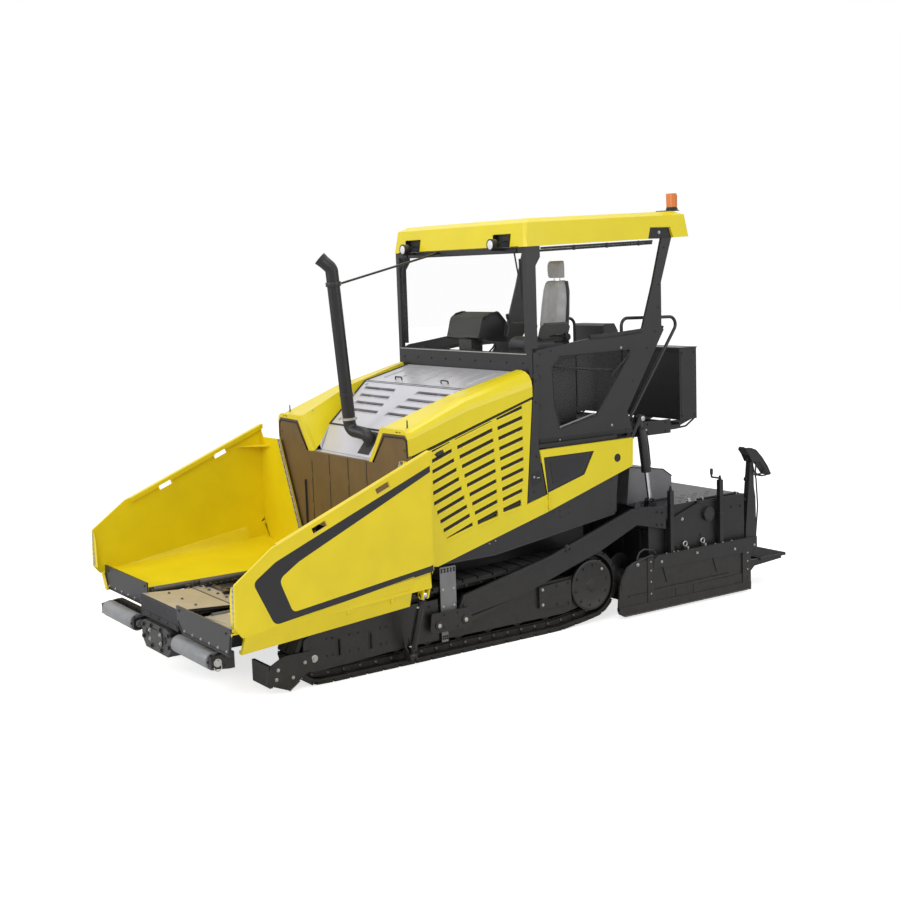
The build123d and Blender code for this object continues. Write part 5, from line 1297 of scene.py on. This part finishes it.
@one("screed", "screed_frame", bevel=0.8)
def screed_lines(f):
    # hydraulic lines and lifting eyes on top
    f.tube([(890, 5560, 1066), (890, 5100, 1066), (1000, 5000, 1066), (1000, 4960, 1010)], 11,
           black, 10, bend=50)
    f.turned((1160, 5540, deck_top), Z1, ((0, 30), (10, 30), (12, 18), (30, 18)), zinc, 18)
    f.mirror()
    # walkway tread
    for way in (-1, 1):
        f.chequer([way * (900 + 58 * i) for i in range(5)], range(5130, 5564, 62), 15, 4,
                  deck_top, 2.4, dark)
    # front face: stiffeners, tamper guard and heater lines
    for x in spread(-1080, 1080, 9):
        f.box(x - 5, x + 5, 4918, 4930, 130, 1000, dark_low)
    f.box(-1196, 1196, 4912, 4930, 30, 66, worn)
    for z in (820, 860):
        f.tube([(-1150, 4922, z), (1150, 4922, z)], 9, black, 8)


@one("screed", "screed_cover", bevel=1)
def screed_cover_trim(f):
    # ribs over the cover
    for x in (-862, -300, 300, 858):
        f.plate("x", ((4986, 1436), (4990, 1455), (5461, 1385), (5584, 1303), (5586, 1290),
                      (5578, 1292), (5457, 1374), (4996, 1443)), x - 2, x + 6, dark)
    # handles and catches
    for x in (-580, 0, 580):
        f.tube([(x - 70, 5200, 1420), (x - 70, 5200, 1456), (x + 70, 5200, 1456),
                (x + 70, 5200, 1420)], 8, black, 10, bend=16)
        f.box(x - 24, x + 24, 5574, 5588, 1240, 1290, zinc)


# ---- extension: side cap, posts, top, step ----------------------------------------------
@both("extension_#", "extension_#", bevel=0.6)
def extension_detail(f):
    f.bolts("x", 1226, ((5380, 900), (5390, 560)), 20)
    f.bolts("x", 1226, ((5290, 620), (6100, 940), (6240, 930), (5640, 700), (5900, 620),
                        (6180, 560), (5200, 860)), 20, dark)
    # flange of the round lift bearing
    f.turned((1252, 5745, 910), X1, ((-2, 75), (5, 75), (6, 68), (6, 46)), dark, 32)
    f.bolts("x", 1257, circle(5745, 910, 58, 6, 0.4), 12, dark)
    # posts: threaded studs and clamps
    for s, top in ((5180, 1230), (5890, 1260)):
        f.turned((1267, s, top), Z1, ((0, 17), (20, 17), (22, 11), (45, 11)), black, 14)
        for z in (700, 900, 1100):
            f.box(1243, 1292, s - 28, s + 28, z, z + 12, dark)
    # crank on the rear post
    f.tube([(1270, 5886, 1278), (1270, 5764, 1302), (1270, 5764, 1393)], 10, black, 12, bend=20)
    f.turned((1270, 5764, 1330), Z1, ((0, 13), (4, 16), (56, 16), (62, 12)), black, 16)
    # walkway tread, and a hose with its clips
    f.chequer(range(850, 1170, 80), range(5660, 6212, 92), 18, 5, deck_top, 2.4, dark)
    f.tube([(1180, 5640, 1070), (1180, 6240, 1070), (1180, 6275, 1030), (1180, 6300, 900)], 12,
           black, 10, bend=40)
    for s in (5700, 5950, 6200):
        f.box(1160, 1200, s, s + 16, deck_top, 1086, zinc)
    # upper and lower edge of the cap
    for z0, z1 in ((1036, 1052), (60, 60)):
        f.tube([(1227, 5610, z0), (1227, 6280, z1)], 6, dark, 6)
    # rear face: stiffeners and cover
    for x in (200, 500, 800, 1100):
        f.box(x - 5, x + 5, 6290, 6302, 120, 1000, dark_low)
    f.box(260, 460, 6290, 6300, 560, 860, dark)
    f.bolts("s", 6300, grid((276, 444), (580, 840)), 14)


@both("extension_#", "extension_#", bevel=0.6)
def step_grating(f):
    # serrated bars across the step, rolled rear lip
    for s in spread(6560, 6896, 13):
        f.box(800, 1214, s, s + 8, 318, 323, dark)
        for x in spread(806, 1175, 10):
            f.box(x, x + 12, s + 1, s + 7, 323, 326, dark)
    f.tube([(792, 6926, 316), (1224, 6926, 316)], 10, dark, 12)
    f.tube([(792, 6926, 296), (1224, 6926, 296)], 8, dark, 10)


@both("extension_#", "end_gate_#", bevel=0.6)
def gate_detail(f):
    # column of small screws, screws over the rail and on the rear upright
    f.bolts("x", 1312, [(4856, z) for z in (540, 448, 332, 208)], 11)
    f.bolts("x", 1304, ((4685, 533),), 22)
    f.bolts("x", 1318, ((6054, 500), (6348, 503), (5000, 520), (5500, 540)), 17)
    f.bolts("x", 1312, [(6250, z) for z in (430, 340, 250)], 11)
    f.bolts("x", 1312, [(6250, z) for z in (160, 100)], 11, dark)
    f.bolts("z", 593, [(1304, s) for s in (5080, 5185, 5238, 5777, 5888, 6020)], 12)
    # two eye rings above the rail
    for s in (5395, 5647):
        f.hoop("x", 1250, (s, 640), 26, 7, zinc)
        f.box(1244, 1296, s - 8, s + 8, 590, 618, zinc)
    # bent handle over the nose and its rod
    f.tube([(1296, 4507, 300), (1296, 4507, 377), (1296, 4552, 500), (1296, 4645, 561),
            (1294, 4745, 572), (1292, 4830, 590), (1292, 4900, 600)], 11, dark, 12, bend=50)
    f.tube([(1276, 4697, 576), (1276, 4732, 648), (1276, 4800, 671), (1276, 4919, 647),
            (1276, 4960, 594)], 10, dark, 12, bend=40)
    # plate on the nose, wear strip round the sole, rod and stays low on the gate
    f.plate("x", rounded(((4462, 300), (4462, 380), (4560, 520), (4640, 545), (4640, 480),
                          (4520, 380), (4500, 300)), 14), 1304, 1307, dark)
    f.plate("x", ((4500, 26), (6296, 26), (6296, 40), (4492, 40)), 1316, 1319, worn)
    f.tube([(1312, 4560, 222), (1312, 4800, 222)], 6, dark, 8)
    for s in (5200, 5450):
        f.box(1304, 1308, s, s + 10, 120, 232, dark_low)


@both("extension_#", "screed_console_#", bevel=0.8)
def screed_console_detail(f):
    rear = 6290
    # face of the head with its keys
    spot, pad, out = sloped_face((rear + 166, 1506), (0, 90, -85), (0, 85, 90))
    pad(f, 1137, 1243, 4, 112, -1, 4, plastic)
    for x, d in grid((1146, 1178, 1210), (12, 44, 76)):
        pad(f, x, x + 20, d, d + 20, 3, 3, label_grey)
    # padded rim along both cheeks of the head
    for x in (1131, 1249):
        f.tube([(x, rear + s, z) for s, z in (
            (20, 1520), (34, 1548), (90, 1540), (160, 1514), (250, 1429), (340, 1315),
            (386, 1232))], 7, rubber, 8)
    # loop handle from the tip back to the head
    for x in (1140, 1240):
        f.tube([(x, 6674, 1232), (x, 6560, 1222), (x, 6452, 1262), (x, 6462, 1384)], 8, black,
               10, bend=30)
    f.tube([(1140, 6560, 1222), (1240, 6560, 1222)], 8, black, 10)
    # post: clamp blocks with lever screws, and a cable
    for z, s in ((700, 40), (960, 64), (1180, 90)):
        f.box(1140, 1150, rear + s + 10, rear + s + 80, z, z + 44, dark)
        f.turned((1183, rear + s + 2, z + 22), -Y1, ((-6, 12), (14, 12), (16, 22), (30, 22)),
                 black, 16)
    f.tube([(1200, rear + 150, 1380), (1222, rear + 190, 1200), (1224, rear + 212, 900),
            (1205, rear + 196, 560)], 8, black, 8, bend=100)
    f.bolts("x", 1216, ((rear + 20, 470), (rear + 20, 540)), 16)
    f.turned((1183, rear + 96, 1402), Z1, ((0, 20), (30, 20), (34, 12)), black, 16)


@one("paver", "main_frame", bevel=0.6)
def frame_bolts(f):
    f.bolts("x", 690, [(s, 980) for s in (2500, 3100, 3700, 4300)], 24, dark)
    # auger drive case, its bolts a radian apart
    f.bolts("x", 62, [(4705 + 58 * cos(a), 400 + 40 * sin(a)) for a in range(6)], 14, dark)
    f.mirror()
    f.turned((0, 300, 500), Z1, ((0, 32), (10, 32), (14, 24)), zinc, 24)


# ---- camera, lamps, surroundings and floor ----------------------------------------------
scene = bpy.context.scene
azimuth, elevation, roll = 0.975109, 0.131549, -0.034699
back = Vector((sin(azimuth) * cos(elevation), -cos(azimuth) * cos(elevation), sin(elevation)))
level_right = Vector((cos(azimuth), sin(azimuth), 0))
level_up = back.cross(level_right)
right = cos(roll) * level_right + sin(roll) * level_up
up = -sin(roll) * level_right + cos(roll) * level_up
camera = bpy.data.objects.new("camera", bpy.data.cameras.new("camera"))
camera.data.lens = 54.81
camera.data.sensor_width = 36
camera.data.clip_end = 200
turn = Matrix((right, up, back)).transposed().to_4x4()
camera.matrix_world = Matrix.Translation((11.480256, -7.922692, 3.560490)) @ turn
scene.collection.objects.link(camera)
scene.camera = camera


def soft_lamp(name, place, target, size, power):
    data = bpy.data.lights.new(name, "AREA")
    data.shape = "RECTANGLE"
    data.size, data.size_y = size
    data.energy = power
    obj = bpy.data.objects.new(name, data)
    obj.location = place
    obj.rotation_euler = (Vector(place) - Vector(target)).to_track_quat("Z", "Y").to_euler()
    scene.collection.objects.link(obj)


soft_lamp("key", (9.0, -9.0, 9.5), (0, 0, 1.2), (7, 5), 430)
soft_lamp("fill", (12.0, 5.0, 5.0), (0, 0.5, 1.2), (6, 5), 190)
soft_lamp("front", (-3.0, -13.0, 6.0), (0, -1, 1.2), (6, 5), 420)
soft_lamp("top", (0.0, 0.0, 12.0), (0, 0, 0), (9, 9), 480)

# white surroundings, dimmer as a light than to the eye, in gloss and through glass
world = bpy.data.worlds.new("studio")
world.use_nodes = True
scene.world = world
tree = world.node_tree
tree.nodes.clear()
rays = shader(tree, "LightPath").outputs
seen = rays["Is Camera Ray"]
for other in ("Is Transmission Ray", "Is Glossy Ray"):
    seen = shader(tree, "Math", links={0: seen, 1: rays[other]}, operation="MAXIMUM")
    seen = seen.outputs["Value"]
dim, bright = [shader(tree, "Background", {"Color": (1, 1, 1, 1), "Strength": strength})
               for strength in (0.42, 1.0)]
pick = shader(tree, "MixShader", links={"Fac": seen, 1: dim.outputs["Background"],
                                        2: bright.outputs["Background"]})
shader(tree, "OutputWorld", links={"Surface": pick.outputs["Shader"]})

# floor that glows for the camera alone
floor_mesh = bpy.data.meshes.new("floor")
floor_mesh.from_pydata([(-60, -60, 0), (60, -60, 0), (60, 60, 0), (-60, 60, 0)], [],
                       [[0, 1, 2, 3]])
floor = bpy.data.objects.new("floor", floor_mesh)
floor.location.z = -0.001
scene.collection.objects.link(floor)
floor_white, tree, bsdf = new_material("floor_white")
for key, value in (("Base Color", (0.9, 0.9, 0.9, 1)), ("Roughness", 0.9),
                   ("Specular IOR Level", 0.1)):
    bsdf.inputs[key].default_value = value
glow = shader(tree, "Emission", {"Strength": 0.72})
plus = shader(tree, "AddShader", links={0: bsdf.outputs["BSDF"], 1: glow.outputs["Emission"]})
choose = shader(tree, "MixShader", links={
    "Fac": shader(tree, "LightPath").outputs["Is Camera Ray"], 1: bsdf.outputs["BSDF"],
    2: plus.outputs["Shader"]})
tree.links.new(choose.outputs["Shader"], tree.nodes["Material Output"].inputs["Surface"])
floor.data.materials.append(floor_white)

scene.view_settings.view_transform = "Standard"
